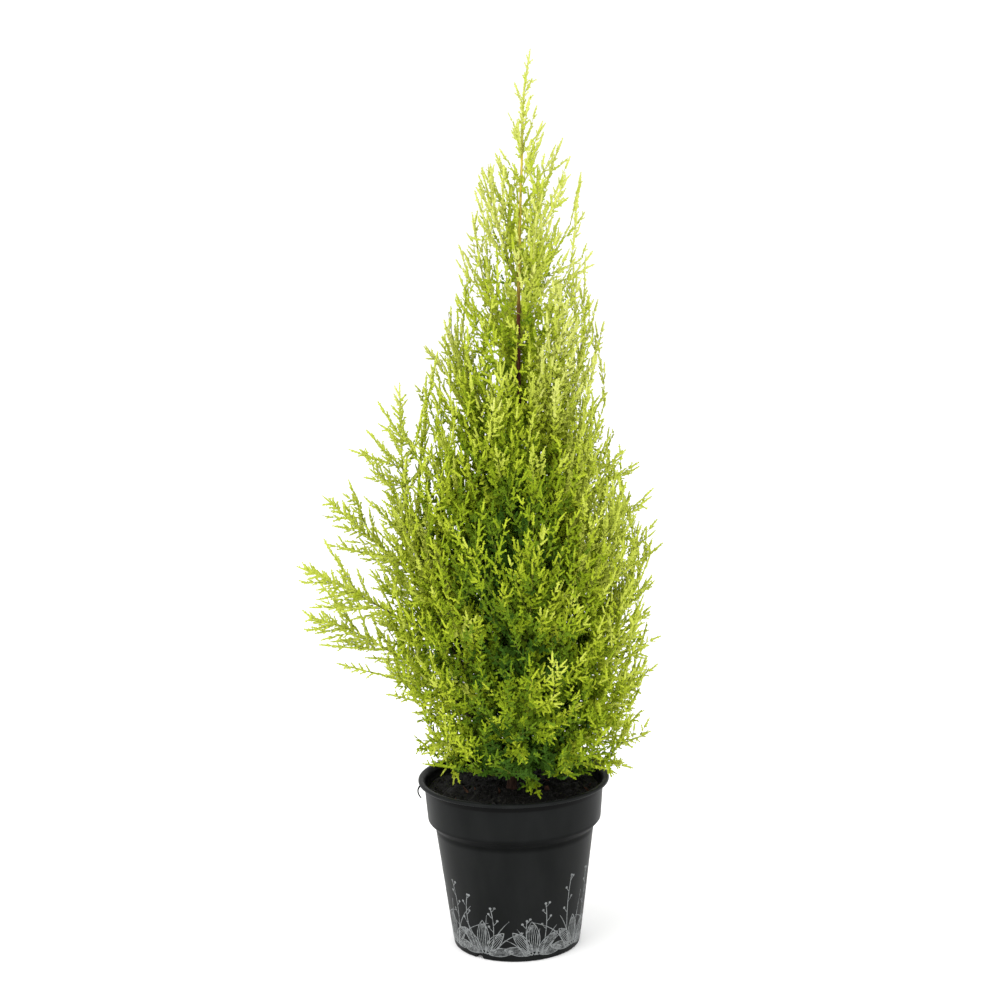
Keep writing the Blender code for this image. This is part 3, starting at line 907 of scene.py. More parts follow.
def tube_rings(points: Sequence[Array], radii: Sequence[float], sides: int, rough: float = 0.0,
               seed: float = 0.0) -> list[list[Array]]:
    """Rings of a tube along points.

    Args:
        points: Centres of the rings.
        radii: Radius of each ring.
        sides: Points in a ring.
        rough: Depth of the bark's relief as a share of the radius.
        seed: Place in the relief's noise.

    Returns:
        One list of points for each ring.
    """
    side = unit(np.cross(points[1] - points[0], (0.31, 0.95, 0.05)))
    rings = []
    for index, (point, radius) in enumerate(zip(points, radii)):
        along = unit(points[min(index + 1, len(points) - 1)] - points[max(index - 1, 0)])
        side = unit(side - along * float(side @ along))
        other = np.cross(along, side)
        ring = []
        for step in range(sides):
            around = math.tau * step / sides
            spot = Vector((math.cos(around) * 2.6, math.sin(around) * 2.6 + seed, float(point[2]) * 90.0))
            reach = radius * (1.0 + rough * roughness(spot, BARK_WAVES) if rough else 1.0)
            ring.append(point + (side * math.cos(around) + other * math.sin(around)) * reach)
        rings.append(ring)
    return rings


@dataclass
class PrintedBand:
    """A generic printed band low on the pot: clumps of veined leaves, grass blades and berried stems.

    Lines are drawn on the unrolled wall, as metres along the foot's arc and height.
    """

    pot: Pot
    lift: float = 0.00012
    sink: float = 0.00025
    foot: float = 0.006
    clumps: int = 9
    leaves: int = 5
    leaf_length: Pair = (0.02, 0.033)
    leaf_half: Pair = (0.0034, 0.0058)
    fan: float = math.radians(64)
    curl: float = math.radians(30)
    veins: tuple[float, ...] = (-1.0, -0.64, -0.3, 0.0, 0.3, 0.64, 1.0)
    front_height: float = 0.046
    side_height: float = 0.078
    line_half: float = 0.0004
    vein_half: float = 0.00024
    berry: float = 0.0011
    steps: int = 10
    leaf_gap: float = 0.0045
    blades: tuple[float, ...] = (-1.15, -0.55, 0.15, 0.7, 1.2)
    blade_gap: float = 0.008
    stem_gap: float = 0.006
    stalks: Pair = (0.0085, 0.0045)
    seed: int = 5
    shell: Shell = field(default_factory=Shell)

    def spot(self, along: float, height: float, lift: float) -> Array:
        """Point on the wall, or off it by a lift, at a place of the unrolled wall."""
        radius, around = self.pot.wall_radius(height) + lift, along / self.pot.foot_radius
        return np.array((radius * math.sin(around), -radius * math.cos(around), height))

    def ribbon(self, line: Sequence[Pair], halves: Sequence[float]) -> None:
        """Print a closed raised ribbon along a line on the wall.

        Args:
            line: Points of the line on the unrolled wall.
            halves: Half width at each point.
        """
        vertices = []
        last = len(line) - 1
        for index, ((along, height), half) in enumerate(zip(line, halves)):
            before, after = line[max(index - 1, 0)], line[min(index + 1, last)]
            run = unit(np.array((after[0] - before[0], after[1] - before[1])))
            for sign in (1.0, -1.0):
                edge = (along - run[1] * half * sign, height + run[0] * half * sign)
                vertices += [self.spot(*edge, self.lift), self.spot(*edge, -self.sink)]
        faces = []
        for a in range(0, last * 4, 4):
            b = a + 4
            faces += [(a, a + 2, b + 2, b), (a + 1, b + 1, b + 3, a + 3), (a, b, b + 1, a + 1),
                      (a + 2, a + 3, b + 3, b + 2)]
        end = last * 4
        self.shell.add(vertices, faces + [(0, 1, 3, 2), (end, end + 2, end + 3, end + 1)])

    def arching(self, root: Pair, angle: float, curl: float, length: float, steps: int) -> list[Pair]:
        """Points of an arching line that leans by an angle from upright and curls on.

        Args:
            root: First point.
            angle: Lean at the root.
            curl: What the lean grows by.
            length: Length of the line.
            steps: Steps along it.

        Returns:
            The points.
        """
        points = [root]
        for step in range(steps):
            lean = angle + curl * (step + 0.5) / steps
            along, height = points[-1]
            points.append((along + math.sin(lean) * length / steps,
                           height + math.cos(lean) * length / steps))
        return points

    def leaf(self, root: Pair, angle: float, curl: float, size: float) -> None:
        """A pointed leaf in outline, with veins that run along it.

        Args:
            root: Its foot.
            angle: Its lean.
            curl: What the lean grows by.
            size: Share of the way from the smallest to the largest.
        """
        steps = self.steps
        length, half = mix(*self.leaf_length, size), mix(*self.leaf_half, size)
        middle = self.arching(root, angle, curl, length, steps)
        for vein in self.veins:
            line = []
            for step, (along, height) in enumerate(middle):
                share = step / steps
                lean = angle + curl * share
                out = vein * half * math.sin(math.pi * share) ** 0.8 if 0 < step < steps else 0.0
                line.append((along + math.cos(lean) * out, height - math.sin(lean) * out))
            edge = abs(vein) == 1.0
            shown = line if edge else line[1:-1]
            self.ribbon(shown, [self.line_half if edge else self.vein_half] * len(shown))

    def blade(self, root: Pair, angle: float, length: float) -> None:
        """A grass blade that thins to its tip."""
        halves = [self.line_half * (1.45 - step / self.steps) for step in range(self.steps + 1)]
        self.ribbon(self.arching(root, angle * 0.4, angle, length, self.steps), halves)

    def stem(self, root: Pair, angle: float, length: float) -> None:
        """A thin stem with berries on short stalks towards its tip.

        Args:
            root: Its foot.
            angle: Its lean.
            length: Its length.
        """
        steps = 14
        line = self.arching(root, angle, -angle * 1.6, length, steps)
        self.ribbon(line, [self.line_half * 0.8] * (steps + 1))
        for index in range(7, steps, 2):
            side = 1.0 if index % 4 == 1 else -1.0
            stalk = self.arching(line[index], side * 0.9, -side * 0.5, mix(*self.stalks, index / steps), 4)
            self.ribbon(stalk, [self.vein_half] * 5)
            self.dot(stalk[-1], self.berry)
        self.dot(line[-1], self.berry)

    def tallness(self, along: float) -> float:
        """Height of the band at a place: lower at the front, taller at the sides."""
        around = along / self.pot.foot_radius
        return mix(self.front_height, self.side_height, 0.5 - 0.5 * math.cos(2.0 * around))

    def clump(self, along: float, rng: random.Random) -> None:
        """A clump of leaves in a fan, with blades and two stems that rise out of it.

        Args:
            along: Its place along the foot's arc.
            rng: Source of its chances.
        """
        tall = self.tallness(along)
        for share in np.linspace(-1.0, 1.0, self.leaves):
            root = (along + share * self.leaf_gap, self.foot)
            size = mix(1.0, 0.25, abs(share)) * rng.uniform(0.75, 1.0)
            self.leaf(root, share * self.fan + rng.uniform(-0.1, 0.1), share * self.curl, size)
        for share in self.blades:
            root = (along + share * self.blade_gap, self.foot)
            self.blade(root, share * 0.8, tall * rng.uniform(0.45, 0.75))
        for side in (-1.0, 1.0):
            root = (along + side * self.stem_gap, self.foot)
            self.stem(root, side * rng.uniform(0.15, 0.5), tall * rng.uniform(0.6, 1.05))

    def dot(self, middle: Pair, radius: float) -> None:
        """A round printed dot.

        Args:
            middle: Its middle.
            radius: Its radius.
        """
        angles = [math.tau * side / 10 for side in range(10)]
        edge = [(middle[0] + radius * math.cos(angle), middle[1] + radius * math.sin(angle))
                for angle in angles]
        sides = len(edge)
        faces = [tuple(range(sides)), tuple(reversed(range(sides, 2 * sides)))]
        for side in range(sides):
            after = (side + 1) % sides
            faces.append((side, sides + side, sides + after, after))
        points = [self.spot(*point, lift) for lift in (self.lift, -self.sink) for point in edge]
        self.shell.add(points, faces)

    def dress(self, finish: InkFinish) -> None:
        """Print the band all round the pot.

        Args:
            finish: The ink.
        """
        rng = random.Random(self.seed)
        round_way = math.tau * self.pot.foot_radius
        for index in range(self.clumps):
            self.clump((index + 0.35 + rng.uniform(-0.12, 0.12)) * round_way / self.clumps, rng)
        band = make_object("printed_band", self.shell.vertices, self.shell.faces)
        face_outwards(band)
        band.data.materials.append(finish.make())
        seat(band, Slot.POT)


@dataclass
class Soil:
    """The soil in the pot: a rough bed, loose crumbs and a few bits of bark."""

    pot: Pot
    clearance: float = 0.0004
    rough: float = 0.0036
    rings: int = 44
    segments: int = 120
    crumb_density: float = 30000.0
    chip_density: float = 700.0
    wall_margin: float = 2.0
    grain: float = 58.0
    top_depth: float = 0.004
    sink: float = 0.0006
    level_trunk: Pair = (0.004, 0.012)
    level_wall: Pair = (0.0785, 0.006)
    side_ends: Pair = (0.05, 0.13)
    seed: int = 3

    def rise(self, x: float, y: float, z: float) -> float:
        """Roughness of the bed at a place, level round the trunk and at the wall.

        Args:
            x: Place to the right.
            y: Place to the back.
            z: Height.

        Returns:
            The extra height.
        """
        if z < SOIL_LEVEL - self.top_depth:
            return 0.0
        reach = math.hypot(x, y)
        inner = (reach - self.level_trunk[0]) / self.level_trunk[1]
        outer = (self.level_wall[0] - reach) / self.level_wall[1]
        fade = min(1.0, max(0.0, inner)) * min(1.0, max(0.0, outer))
        return roughness(Vector((x, y, 0.3)) * self.grain, SOIL_WAVES) * self.rough * fade

    def bed(self) -> Object:
        """The bed: a plug that fills the pot, with a rough top.

        Returns:
            The bed.
        """
        edge = self.pot.inner_radius(SOIL_LEVEL) - self.clearance
        foot, top = self.pot.floor + GAP, SOIL_LEVEL - self.sink
        bends = (self.pot.body_top[1], self.pot.collar_foot[1])
        heights = (foot, self.side_ends[0], *bends, self.side_ends[1])
        profile = [(0.0, foot)]
        profile += [(self.pot.inner_radius(z) - self.clearance * 2, z) for z in heights]
        profile += [(edge * (1.0 - step / self.rings), top) for step in range(self.rings)]
        profile.append((0.0, top))
        bed = turned_mesh("soil_bed", profile, self.segments, self.rise)
        bed.data.shade_smooth()
        return bed

    def surface(self, name: str, margin: float) -> Object:
        """A copy of the bed's top without a margin at the wall, to scatter bits on.

        Args:
            name: Name of the copy.
            margin: Width of the margin.

        Returns:
            The copy.
        """
        edge = self.pot.inner_radius(SOIL_LEVEL) - margin
        bed = self.bed()
        mesh = bmesh.new()
        mesh.from_mesh(bed.data)
        middles = {face: face.calc_center_median() for face in mesh.faces}
        low = SOIL_LEVEL - self.top_depth
        spare = [face for face, middle in middles.items() if middle.z < low or middle.xy.length > edge]
        bmesh.ops.delete(mesh, geom=spare, context="FACES")
        mesh.to_mesh(bed.data)
        mesh.free()
        bed.name = name
        return bed

    def bits(self, name: str, stretch: Place) -> Collection:
        """A few irregular bits with the faces of a coarse ball.

        Args:
            name: Name of the collection.
            stretch: Size along the three axes.

        Returns:
            The bits.
        """
        rng = random.Random(self.seed)
        made = []
        for index in range(4):
            mesh = bmesh.new()
            bmesh.ops.create_icosphere(mesh, subdivisions=1, radius=1.0)
            for vertex in mesh.verts:
                vertex.co *= rng.uniform(0.62, 1.15)
                vertex.co = Vector(c * s for c, s in zip(vertex.co, stretch))
            thing = make_object(f"{name}_{index}", [], [])
            mesh.to_mesh(thing.data)
            mesh.free()
            made.append(thing)
        return hidden_group(name, made)

    def dress(self) -> None:
        """Build the bed and scatter crumbs and bark bits on it."""
        earth = EarthFinish("peaty_soil", (0.0009, 0.0008, 0.0005), (0.0056, 0.0049, 0.0032))
        crumb_earth = EarthFinish("soil_crumb", (0.0012, 0.0011, 0.0007), (0.012, 0.0105, 0.007))
        chip_bark = EarthFinish("bark_bit", (0.022, 0.01, 0.0055), (0.095, 0.04, 0.02), 260.0, 0.0004)
        bed = self.bed()
        bed.data.materials.append(earth.make())
        seat(bed, Slot.SOIL, ("soil",))
        tree = scatter_tree()
        kinds = (
            ("soil_crumbs", (1.0, 0.85, 0.75), self.crumb_density, (0.0006, 0.0032), crumb_earth),
            ("bark_bits", (1.9, 0.75, 0.3), self.chip_density, (0.0012, 0.0038), chip_bark),
        )
        for index, (name, stretch, density, sizes, finish) in enumerate(kinds):
            group = self.bits(name + "_shape", stretch)
            surface = self.surface(name, sizes[1] * self.wall_margin)
            bits = tree.run(surface, Bits=group, Density=density, Smallest=sizes[0],
                            Largest=sizes[1], Seed=self.seed + index, Material=finish.make())
            drop_group(group)
            seat(bits, Slot.SOIL)


@dataclass(frozen=True)
class Habit:
    """How a tier's plumes branch.

    Lengths are in metres and angles in degrees. flat is 1 where twigs and shoots
    stand in two ranks and 0 where they stand all round, rise bends them up, and
    spread is the longest sub-twig, which sets how wide a feather gets.
    """

    twig_step: float
    twig_length: float
    twig_angle: float
    flat: float
    rise: float
    shoot_step: float
    shoot_length: float
    shoot_angle: float
    spread: float


@dataclass(frozen=True)
class Tier:
    """One ring of plumes, as in the part's source, and the habit that they branch by."""

    name: str
    count: int
    root: Pair
    tip: Pair
    reach: float
    azimuth: float
    sweep: float
    lift: float
    limb: float
    habit: Habit


@dataclass(frozen=True)
class Plume:
    """One bough of the crown: a line from the trunk to a tip."""

    name: str
    root: Array
    control: Array
    tip: Array
    limb: float
    habit: Habit

    def point(self, share: float) -> Array:
        """Point of the line at a share of its length."""
        rest = 1.0 - share
        return self.root * rest * rest + self.control * (2.0 * share * rest) + self.tip * share * share

    def direction(self, share: float) -> Array:
        """Unit direction of the line at a share of its length."""
        return unit((self.control - self.root) * (1.0 - share) + (self.tip - self.control) * share)

    def length(self) -> float:
        """Length of the line."""
        points = [self.point(share) for share in np.linspace(0.0, 1.0, 13)]
        return float(sum(np.linalg.norm(b - a) for a, b in zip(points, points[1:])))


SKIRT = Habit(0.005, 0.046, 48.0, 0.75, 0.0, 0.0031, 0.007, 62.0, 0.02)
LOW = Habit(0.005, 0.06, 42.0, 0.6, 0.35, 0.0031, 0.0072, 56.0, 0.021)
HEART = Habit(0.0064, 0.066, 32.0, 0.5, 0.75, 0.0035, 0.007, 48.0, 0.018)
MIDDLE = Habit(0.0048, 0.078, 28.0, 0.55, 0.9, 0.0032, 0.0072, 44.0, 0.017)
INNER = Habit(0.0054, 0.08, 24.0, 0.55, 0.85, 0.0033, 0.007, 42.0, 0.016)
UPPER = Habit(0.0056, 0.08, 22.0, 0.5, 0.65, 0.0034, 0.0068, 40.0, 0.016)
SPIRE = Habit(0.0074, 0.066, 24.0, 0.45, 0.4, 0.0039, 0.006, 38.0, 0.013)
SIDE = Habit(0.005, 0.06, 40.0, 0.8, 0.05, 0.0034, 0.0074, 46.0, 0.018)
LEADER = Habit(0.0105, 0.03, 32.0, 0.2, 0.3, 0.0042, 0.0056, 38.0, 0.009)


@dataclass(frozen=True)
class Form:
    """The tree's form, as in the part's source: trunk, outline, tiers and side plumes."""

    foot_x: float = -0.002
    lean: float = 0.027
    bend: float = 0.003
    trunk_end: float = 0.7
    foot_radius: float = 0.0036
    end_radius: float = 0.001
    flare: float = 0.0016
    flare_height: float = 0.006
    limb_radii: Pair = (0.0021, 0.0014)
    stem_radii: Pair = (0.0013, 0.00032)
    leader_bend: Place = (-0.003, 0.0, 0.0)
    outline: Table = (
        (0.155, 0.088), (0.2, 0.121), (0.36, 0.127), (0.41, 0.115), (0.48, 0.082),
        (0.56, 0.071), (0.63, 0.059), (0.7, 0.038), (PLANT_TOP, 0.0),
    )
    tiers: tuple[Tier, ...] = (
        Tier("skirt", 6, (0.153, 0.16), (0.168, 0.196), 0.96, 250.0, 0.45, 1.35, 0.0, SKIRT),
        Tier("low", 7, (0.172, 0.205), (0.255, 0.33), 0.97, 0.0, 0.72, 0.34, 0.0, LOW),
        Tier("heart", 5, (0.188, 0.227), (0.33, 0.375), 0.58, 233.0, 0.85, 0.3, 0.0, HEART),
        Tier("middle", 7, (0.232, 0.28), (0.375, 0.44), 0.97, 0.0, 0.85, 0.3, 0.22, MIDDLE),
        Tier("inner", 5, (0.292, 0.34), (0.45, 0.535), 0.84, 65.0, 0.8, 0.3, 0.0, INNER),
        Tier("upper", 4, (0.39, 0.44), (0.56, 0.615), 0.94, 30.0, 0.8, 0.32, 0.0, UPPER),
        Tier("spire", 4, (0.505, 0.59), (0.655, 0.705), 0.92, 150.0, 0.75, 0.34, 0.0, SPIRE),
    )
    sides: tuple = (
        ("side_leader", (-0.09, -0.004, 0.513), 0.2, 1.12, 0.3, 0.4),
        ("sweep_low", (-0.183, 0.012, 0.3), 0.167, 0.55, 0.9, 0.26),
        ("sweep_middle", (-0.179, -0.044, 0.356), 0.226, 0.6, 0.72, 0.26),
        ("sweep_high", (-0.162, 0.036, 0.402), 0.252, 0.62, 0.62, 0.26),
    )
    silhouette: Places = (
        (0.155, -0.084, 0.094), (0.213, -0.09, 0.119), (0.268, -0.116, 0.125), (0.375, -0.116, 0.126),
        (0.43, -0.1, 0.111), (0.48, -0.082, 0.09), (0.56, -0.053, 0.086), (0.61, -0.04, 0.08),
        (0.686, -0.02, 0.07), (0.711, 0.002, 0.055), (0.736, 0.008, 0.038), (0.764, 0.011, 0.034),
        (PLANT_TOP, 0.018, 0.03),
    )

    def trunk_x(self, height: Array) -> Array:
        """Sideways place of the trunk's line at a height, or at many."""
        share = (height - SOIL_LEVEL) / (PLANT_TOP - SOIL_LEVEL)
        return self.foot_x + self.lean * share + self.bend * np.sin(math.tau * share)

    def trunk_point(self, height: float) -> Array:
        """Centre of the trunk's line at a height."""
        return np.array((float(self.trunk_x(height)), 0.0, height))

    def trunk_radius(self, height: float) -> float:
        """Radius of the trunk at a height, with the flare at its foot."""
        rise = height - SOIL_LEVEL
        return (mix(self.foot_radius, self.end_radius, rise / (self.trunk_end - SOIL_LEVEL))
                + self.flare * math.exp(-rise / self.flare_height))

    def reach(self, height: float) -> float:
        """Reach of the crown from the trunk's line at a height."""
        return float(read(self.outline, height))

    def away(self, point: Array, up: float = 0.0) -> Array:
        """Vector from the trunk's line to a point, with another rise."""
        return np.array((point[0] - float(self.trunk_x(point[2])), point[1], up))

    def sideways(self, points: Array) -> Array:
        """How far to a side points lie: -1 on the photo's left outline and 1 on its right one."""
        left, right = (read([(row[0], row[i]) for row in self.silhouette], points[:, 2]) for i in (1, 2))
        return (points[:, 0] * 2.0 - left - right) / (right - left)

    def outward(self, points: Array) -> Array:
        """How far out points lie: 0 on the crown's axis and 1 on its outline."""
        reach = read(self.outline, points[:, 2])
        return np.hypot(self.sideways(points), points[:, 1] / (reach + 1e-6))

    def plume(self, name: str, root_height: float, tip: Array, sweep: float, lift: float, limb: float,
              habit: Habit) -> Plume:
        """A plume from its root's height on the trunk and its tip."""
        root = self.trunk_point(root_height)
        return Plume(name, root, root + (tip - root) * np.array((sweep, sweep, lift)), tip, limb, habit)

    def plumes(self) -> list[Plume]:
        """Every plume of the crown: the tiers, the side plumes and the leader.

        Returns:
            The plumes, with the leader last.
        """
        made = []
        for tier in self.tiers:
            for index in range(tier.count):
                share = index / (tier.count - 1)
                around = math.radians(tier.azimuth) + index * GOLDEN_ANGLE
                height = mix(*tier.tip, share)
                tip = self.trunk_point(height) + spoke(around) * self.reach(height) * tier.reach
                made.append(self.plume(f"{tier.name}_{index + 1}", mix(*tier.root, share), tip, tier.sweep,
                                       tier.lift, tier.limb, tier.habit))
        for name, tip, root, sweep, lift, limb in self.sides:
            made.append(self.plume(name, root, np.array(tip), sweep, lift, limb, SIDE))
        middle = self.trunk_point(mix(self.trunk_end, PLANT_TOP, 0.5)) + self.leader_bend
        tip = self.trunk_point(PLANT_TOP) - self.leader_bend
        made.append(Plume("leader", self.trunk_point(self.trunk_end), middle, tip, 0.0, LEADER))
        return made

    def limb_start(self, plume: Plume) -> float:
        """Share of a plume's line where it leaves the trunk's surface.

        Args:
            plume: The plume.

        Returns:
            The share.
        """
        if plume.name == "leader":
            return 0.0
        for share in np.arange(0.0, 0.5, 0.002):
            point = plume.point(share)
            if math.hypot(*self.away(point)) >= self.trunk_radius(point[2]) * 0.8:
                return float(share)
        return 0.0


class Tone(Enum):
    """Tones of the needles, from the shaded heart of the crown to its lit tips."""

    DEEP = 0
    SHADE = 1
    MID = 2
    BRIGHT = 3
    LIME = 4
    TIP = 5


TONES: dict[Tone, Colour] = {
    Tone.DEEP: (0.04, 0.094, 0.006),
    Tone.SHADE: (0.126, 0.206, 0.008),
    Tone.MID: (0.255, 0.345, 0.012),
    Tone.BRIGHT: (0.4, 0.48, 0.028),
    Tone.LIME: (0.505, 0.57, 0.075),
    Tone.TIP: (0.585, 0.625, 0.15),
}


@dataclass(frozen=True)
class Shoot:
    """A needled shoot: where it stands, how it turns, its size, kind and tone, and its plume's number."""

    base: Array
    turn: Place
    size: float
    kind: int
    tone: Tone
    plume: int


@dataclass(frozen=True)
class ShootKind:
    """One size of needled shoot: its length, its pairs of needles and their size."""

    length: float
    pairs: int
    needle_length: float
    needle_half: float


@dataclass(frozen=True)
class ShootShape:
    """Shape of the needled shoots: a slim core with awl needles in crossed pairs."""

    kinds: tuple[ShootKind, ...] = (
        ShootKind(0.0066, 3, 0.0024, 0.00115),
        ShootKind(0.0102, 4, 0.0023, 0.0011),
        ShootKind(0.015, 6, 0.0022, 0.00098),
        ShootKind(0.0066, 2, 0.0034, 0.0016),
        ShootKind(0.0066, 2, 0.0044, 0.0021),
    )
    shaded: Pair = (0.028, 0.042)
    longest: Pair = (0.0084, 0.0128)
    bend: float = 0.09
    core: Table = ((0.0, 1.0), (0.7, 0.72))
    leans: Pair = (58.0, 36.0)
    lean_play: float = 9.0
    thick_foot: float = 2.2
    core_radius: float = 0.00112
    beads: Pair = (1.18, 0.74)
    variants: int = 3

    def pick(self, length: float, depth: float) -> int:
        """Number of the kind for a shoot, with the coarse ones for short shoots deep in the crown."""
        short = (0, 3, 4)[sum(depth > level for level in self.shaded)]
        return (short, 1, 2)[sum(length > longest for longest in self.longest)]

    def make(self, name: str, kind: ShootKind, seed: int) -> Object:
        """One shoot along +Z, slightly bent, with its root at the origin.

        Args:
            name: Name of the object.
            kind: Its size and its needles.
            seed: Seed of its bend and of its needles.

        Returns:
            The shoot.
        """
        rng = random.Random(seed)
        bend = np.array((rng.uniform(-1, 1), rng.uniform(-1, 1), 0.0)) * kind.length * self.bend
        shell = Shell()

        def middle(share: float) -> Array:
            """Point of the bent core at a share of its length."""
            return UP * kind.length * share + bend * share * share

        spokes = [spoke(math.tau * side / 3) for side in range(3)]
        vertices = [middle(level) + out * self.core_radius * thick
                    for level, thick in self.core for out in spokes]
        faces = []
        for side in range(3):
            after = (side + 1) % 3
            faces += [(side, after, after + 3, side + 3), (side + 3, after + 3, 6)]
        shell.add([*vertices, middle(1.0)], [*faces, (2, 1, 0)])
        start = rng.uniform(0.0, math.pi)
        for pair in range(kind.pairs):
            share = (pair + 0.3) / (kind.pairs - 0.42) * 0.92
            half = kind.needle_half * mix(1.0, 0.8, share)
            for side in range(2):
                around = start + pair * math.pi / 2 + side * math.pi + rng.uniform(-0.3, 0.3)
                lean = math.radians(mix(*self.leans, share) + rng.uniform(-self.lean_play, self.lean_play))
                length = kind.needle_length * self.beads[pair % 2] * mix(1.0, 0.7, share)
                length *= rng.uniform(0.7, 1.25)
                run = (spoke(around) * math.sin(lean) + UP * math.cos(lean)) * length
                self.add_needle(shell, middle(share), around, half, run)
        return make_object(name, shell.vertices, shell.faces)

    def add_needle(self, shell: Shell, root: Array, around: float, half: float, run: Array) -> None:
        """One awl needle of a half width: three faces from a base in the core to its point."""
        across = np.array((-math.sin(around), math.cos(around), 0.0)) * half
        shell.add([root + across, root - across, root + UP * half * self.thick_foot, root + run],
                  [(0, 3, 1), (1, 3, 2), (2, 3, 0)])

    def collection(self) -> Collection:
        """Every kind of shoot in its variants, kind by kind.

        Returns:
            A collection that only the node trees see.
        """
        made = []
        for kind in self.kinds:
            for _ in range(self.variants):
                made.append(self.make(f"shoot_{len(made):02d}", kind, 40 + len(made)))
        return hidden_group("shoot_shapes", made)


@dataclass
class Growth:
    """The crown's growth: twigs and shoots of every plume, each within its own space."""

    form: Form
    pot: Pot
    shape: ShootShape

    # Room: how far a plume may reach into its neighbours' space, and what it keeps clear of
    overlap: float = 0.012
    trunk_overlap: float = 0.022
    side_width: float = 0.046
    side_margin: float = 0.003
    pot_margin: float = 0.002
    hem: float = 0.153
    hem_slope: float = 0.24
    hem_left: float = 0.17
    ragged: Pair = (0.82, 1.03)
    farthest: float = 1.12
    open_trunk: Table = (
        (0.5, 0.0), (0.508, 0.0016), (0.582, 0.0014), (0.596, 0.001), (0.7, 0.0006), (0.72, 0.0),
    )
    cell_size: float = 0.007
    crowd: int = 4
    inner_crowd: int = 2
    inner_depth: float = 0.046

    # Light: what makes a shoot's tone paler or darker, mostly painted light and shade by the shoot's place
    # in the crown, beside the paler young growth and random moods
    side_lights: Table = (
        (0.0, -0.2), (0.15, -0.12), (0.3, 0.0), (0.45, 0.12), (0.6, 0.21), (0.8, 0.24), (1.0, 0.25),
    )
    core_fades: Table = ((0.2, 0.6), (0.24, 0.45), (0.31, 0.55), (0.35, 1.0))
    side_fades: Table = ((0.34, 1.0), (0.4, 0.75), (0.47, 0.4), (0.56, 0.2), (0.788, 0.0))
    height_light: Table = (
        (0.15, -0.16), (0.172, -0.07), (0.2, 0.07), (0.36, 0.195), (0.44, 0.3), (0.52, 0.42),
        (0.62, 0.48), (0.7, 0.515), (0.788, 0.55),
    )
    side_light: float = -0.03
    right_light: float = 0.19
    right_from: float = 0.2
    pale_above: float = 0.49
    dark_depth: float = 0.075
    lit_depth: float = 0.012
    lit_share: float = 0.45
    surface_light: float = 0.4
    seam_light: float = 0.08
    seam_width: float = 0.01
    hanging_light: float = 0.14
    front_light: float = 0.17
    reach_light: float = 0.04
    fill_light: Pair = (-0.26, -0.06)
    mood: float = 0.1
    twig_mood: float = 0.14
    branch_lights: Pair = (-0.09, 0.12)
    spray_lights: Pair = (0.0, 0.05)
    young_light: float = 0.1
    tip_light: float = 0.12

    # Twigs and shoots
    twig_points: Table = ((0.014, 3), (0.036, 4), (0.056, 5), (1.0, 6))
    twig_radius: float = 0.00022
    twig_taper: float = 0.0062
    out_bend: float = 0.08
    short_shoots: Pair = (0.006, 0.0125)
    shortest_twig: float = 0.016
    shortest_branched: float = 0.03
    branched_share: float = 0.72
    sub_twig_share: float = 0.42
    tip_shoots: Pair = (0.0088, 0.0105)
    stem_tip_shoot: float = 0.0142
    tip_margin: float = 0.01
    clothed_from: float = 0.026
    clothed_end: float = 0.014
    clothes_length: float = 0.0155
    side_reach: float = 0.026
    side_every: int = 6
    side_clothes: float = 0.0032
    side_shoot: float = 0.0074
    leader_shoot: float = 0.005
    reach_length: float = 0.04
    reach_end: float = 0.007
    straightness: float = 0.09
    trunk_twig: float = 0.05
    trunk_spike: float = 0.086
    trunk_steps: Places = ((0.166, 0.3, 0.004), (0.3, 0.52, 0.0062), (0.52, 0.73, 0.0068))
    bare_trunk: Pair = (0.536, 0.578)

    # Gaps that are filled at the end
    spot_step: float = 0.0105
    spot_outward: float = 0.96
    spot_inward: float = 0.18
    fill_top: float = 0.7
    fill_counts: Table = ((0.34, 7), (0.58, 5), (1.0, 1))
    longest_fill: float = 0.058
    least_fill: float = 0.008

    # Tips that the photograph shows, each of which a spray reaches
    left_tips: Places = (
        (-0.135, -0.004, 0.45), (-0.109, -0.004, 0.472), (-0.123, -0.004, 0.426), (-0.159, -0.006, 0.326),
        (-0.153, 0.004, 0.258), (-0.11, 0.0, 0.23), (-0.128, 0.004, 0.356), (-0.12, -0.006, 0.3),
    )
    right_tips: Places = (
        (0.102, -0.02, 0.446), (0.115, 0.01, 0.43), (0.126, -0.01, 0.41), (0.131, 0.015, 0.378),
        (0.134, -0.015, 0.362), (0.129, 0.02, 0.321), (0.13, -0.02, 0.282), (0.13, 0.01, 0.248),
        (0.127, -0.015, 0.197), (0.115, -0.02, 0.162),
    )
    top_left_tips: Places = (
        (-0.006, -0.006, 0.707), (-0.017, 0.006, 0.695), (-0.022, -0.01, 0.669), (-0.036, 0.01, 0.623),
        (-0.051, -0.015, 0.561), (-0.071, 0.0, 0.544),
    )
    top_right_tips: Places = (
        (0.039, -0.006, 0.724), (0.053, 0.004, 0.711), (0.059, -0.01, 0.696), (0.069, 0.008, 0.682),
        (0.077, -0.012, 0.616), (0.082, 0.01, 0.573), (0.086, -0.01, 0.556),
    )
    front_tips: Places = (
        (-0.009, -0.07, 0.5), (-0.009, -0.08, 0.461), (0.022, -0.08, 0.462), (0.007, -0.105, 0.386),
        (-0.006, -0.112, 0.352), (0.025, -0.114, 0.331), (0.053, -0.1, 0.343), (-0.037, -0.108, 0.328),
        (0.034, -0.112, 0.293),
    )
    hanging_tips: Places = (
        (0.022, -0.068, 0.154), (0.051, -0.045, 0.157), (-0.048, -0.03, 0.157),
    )

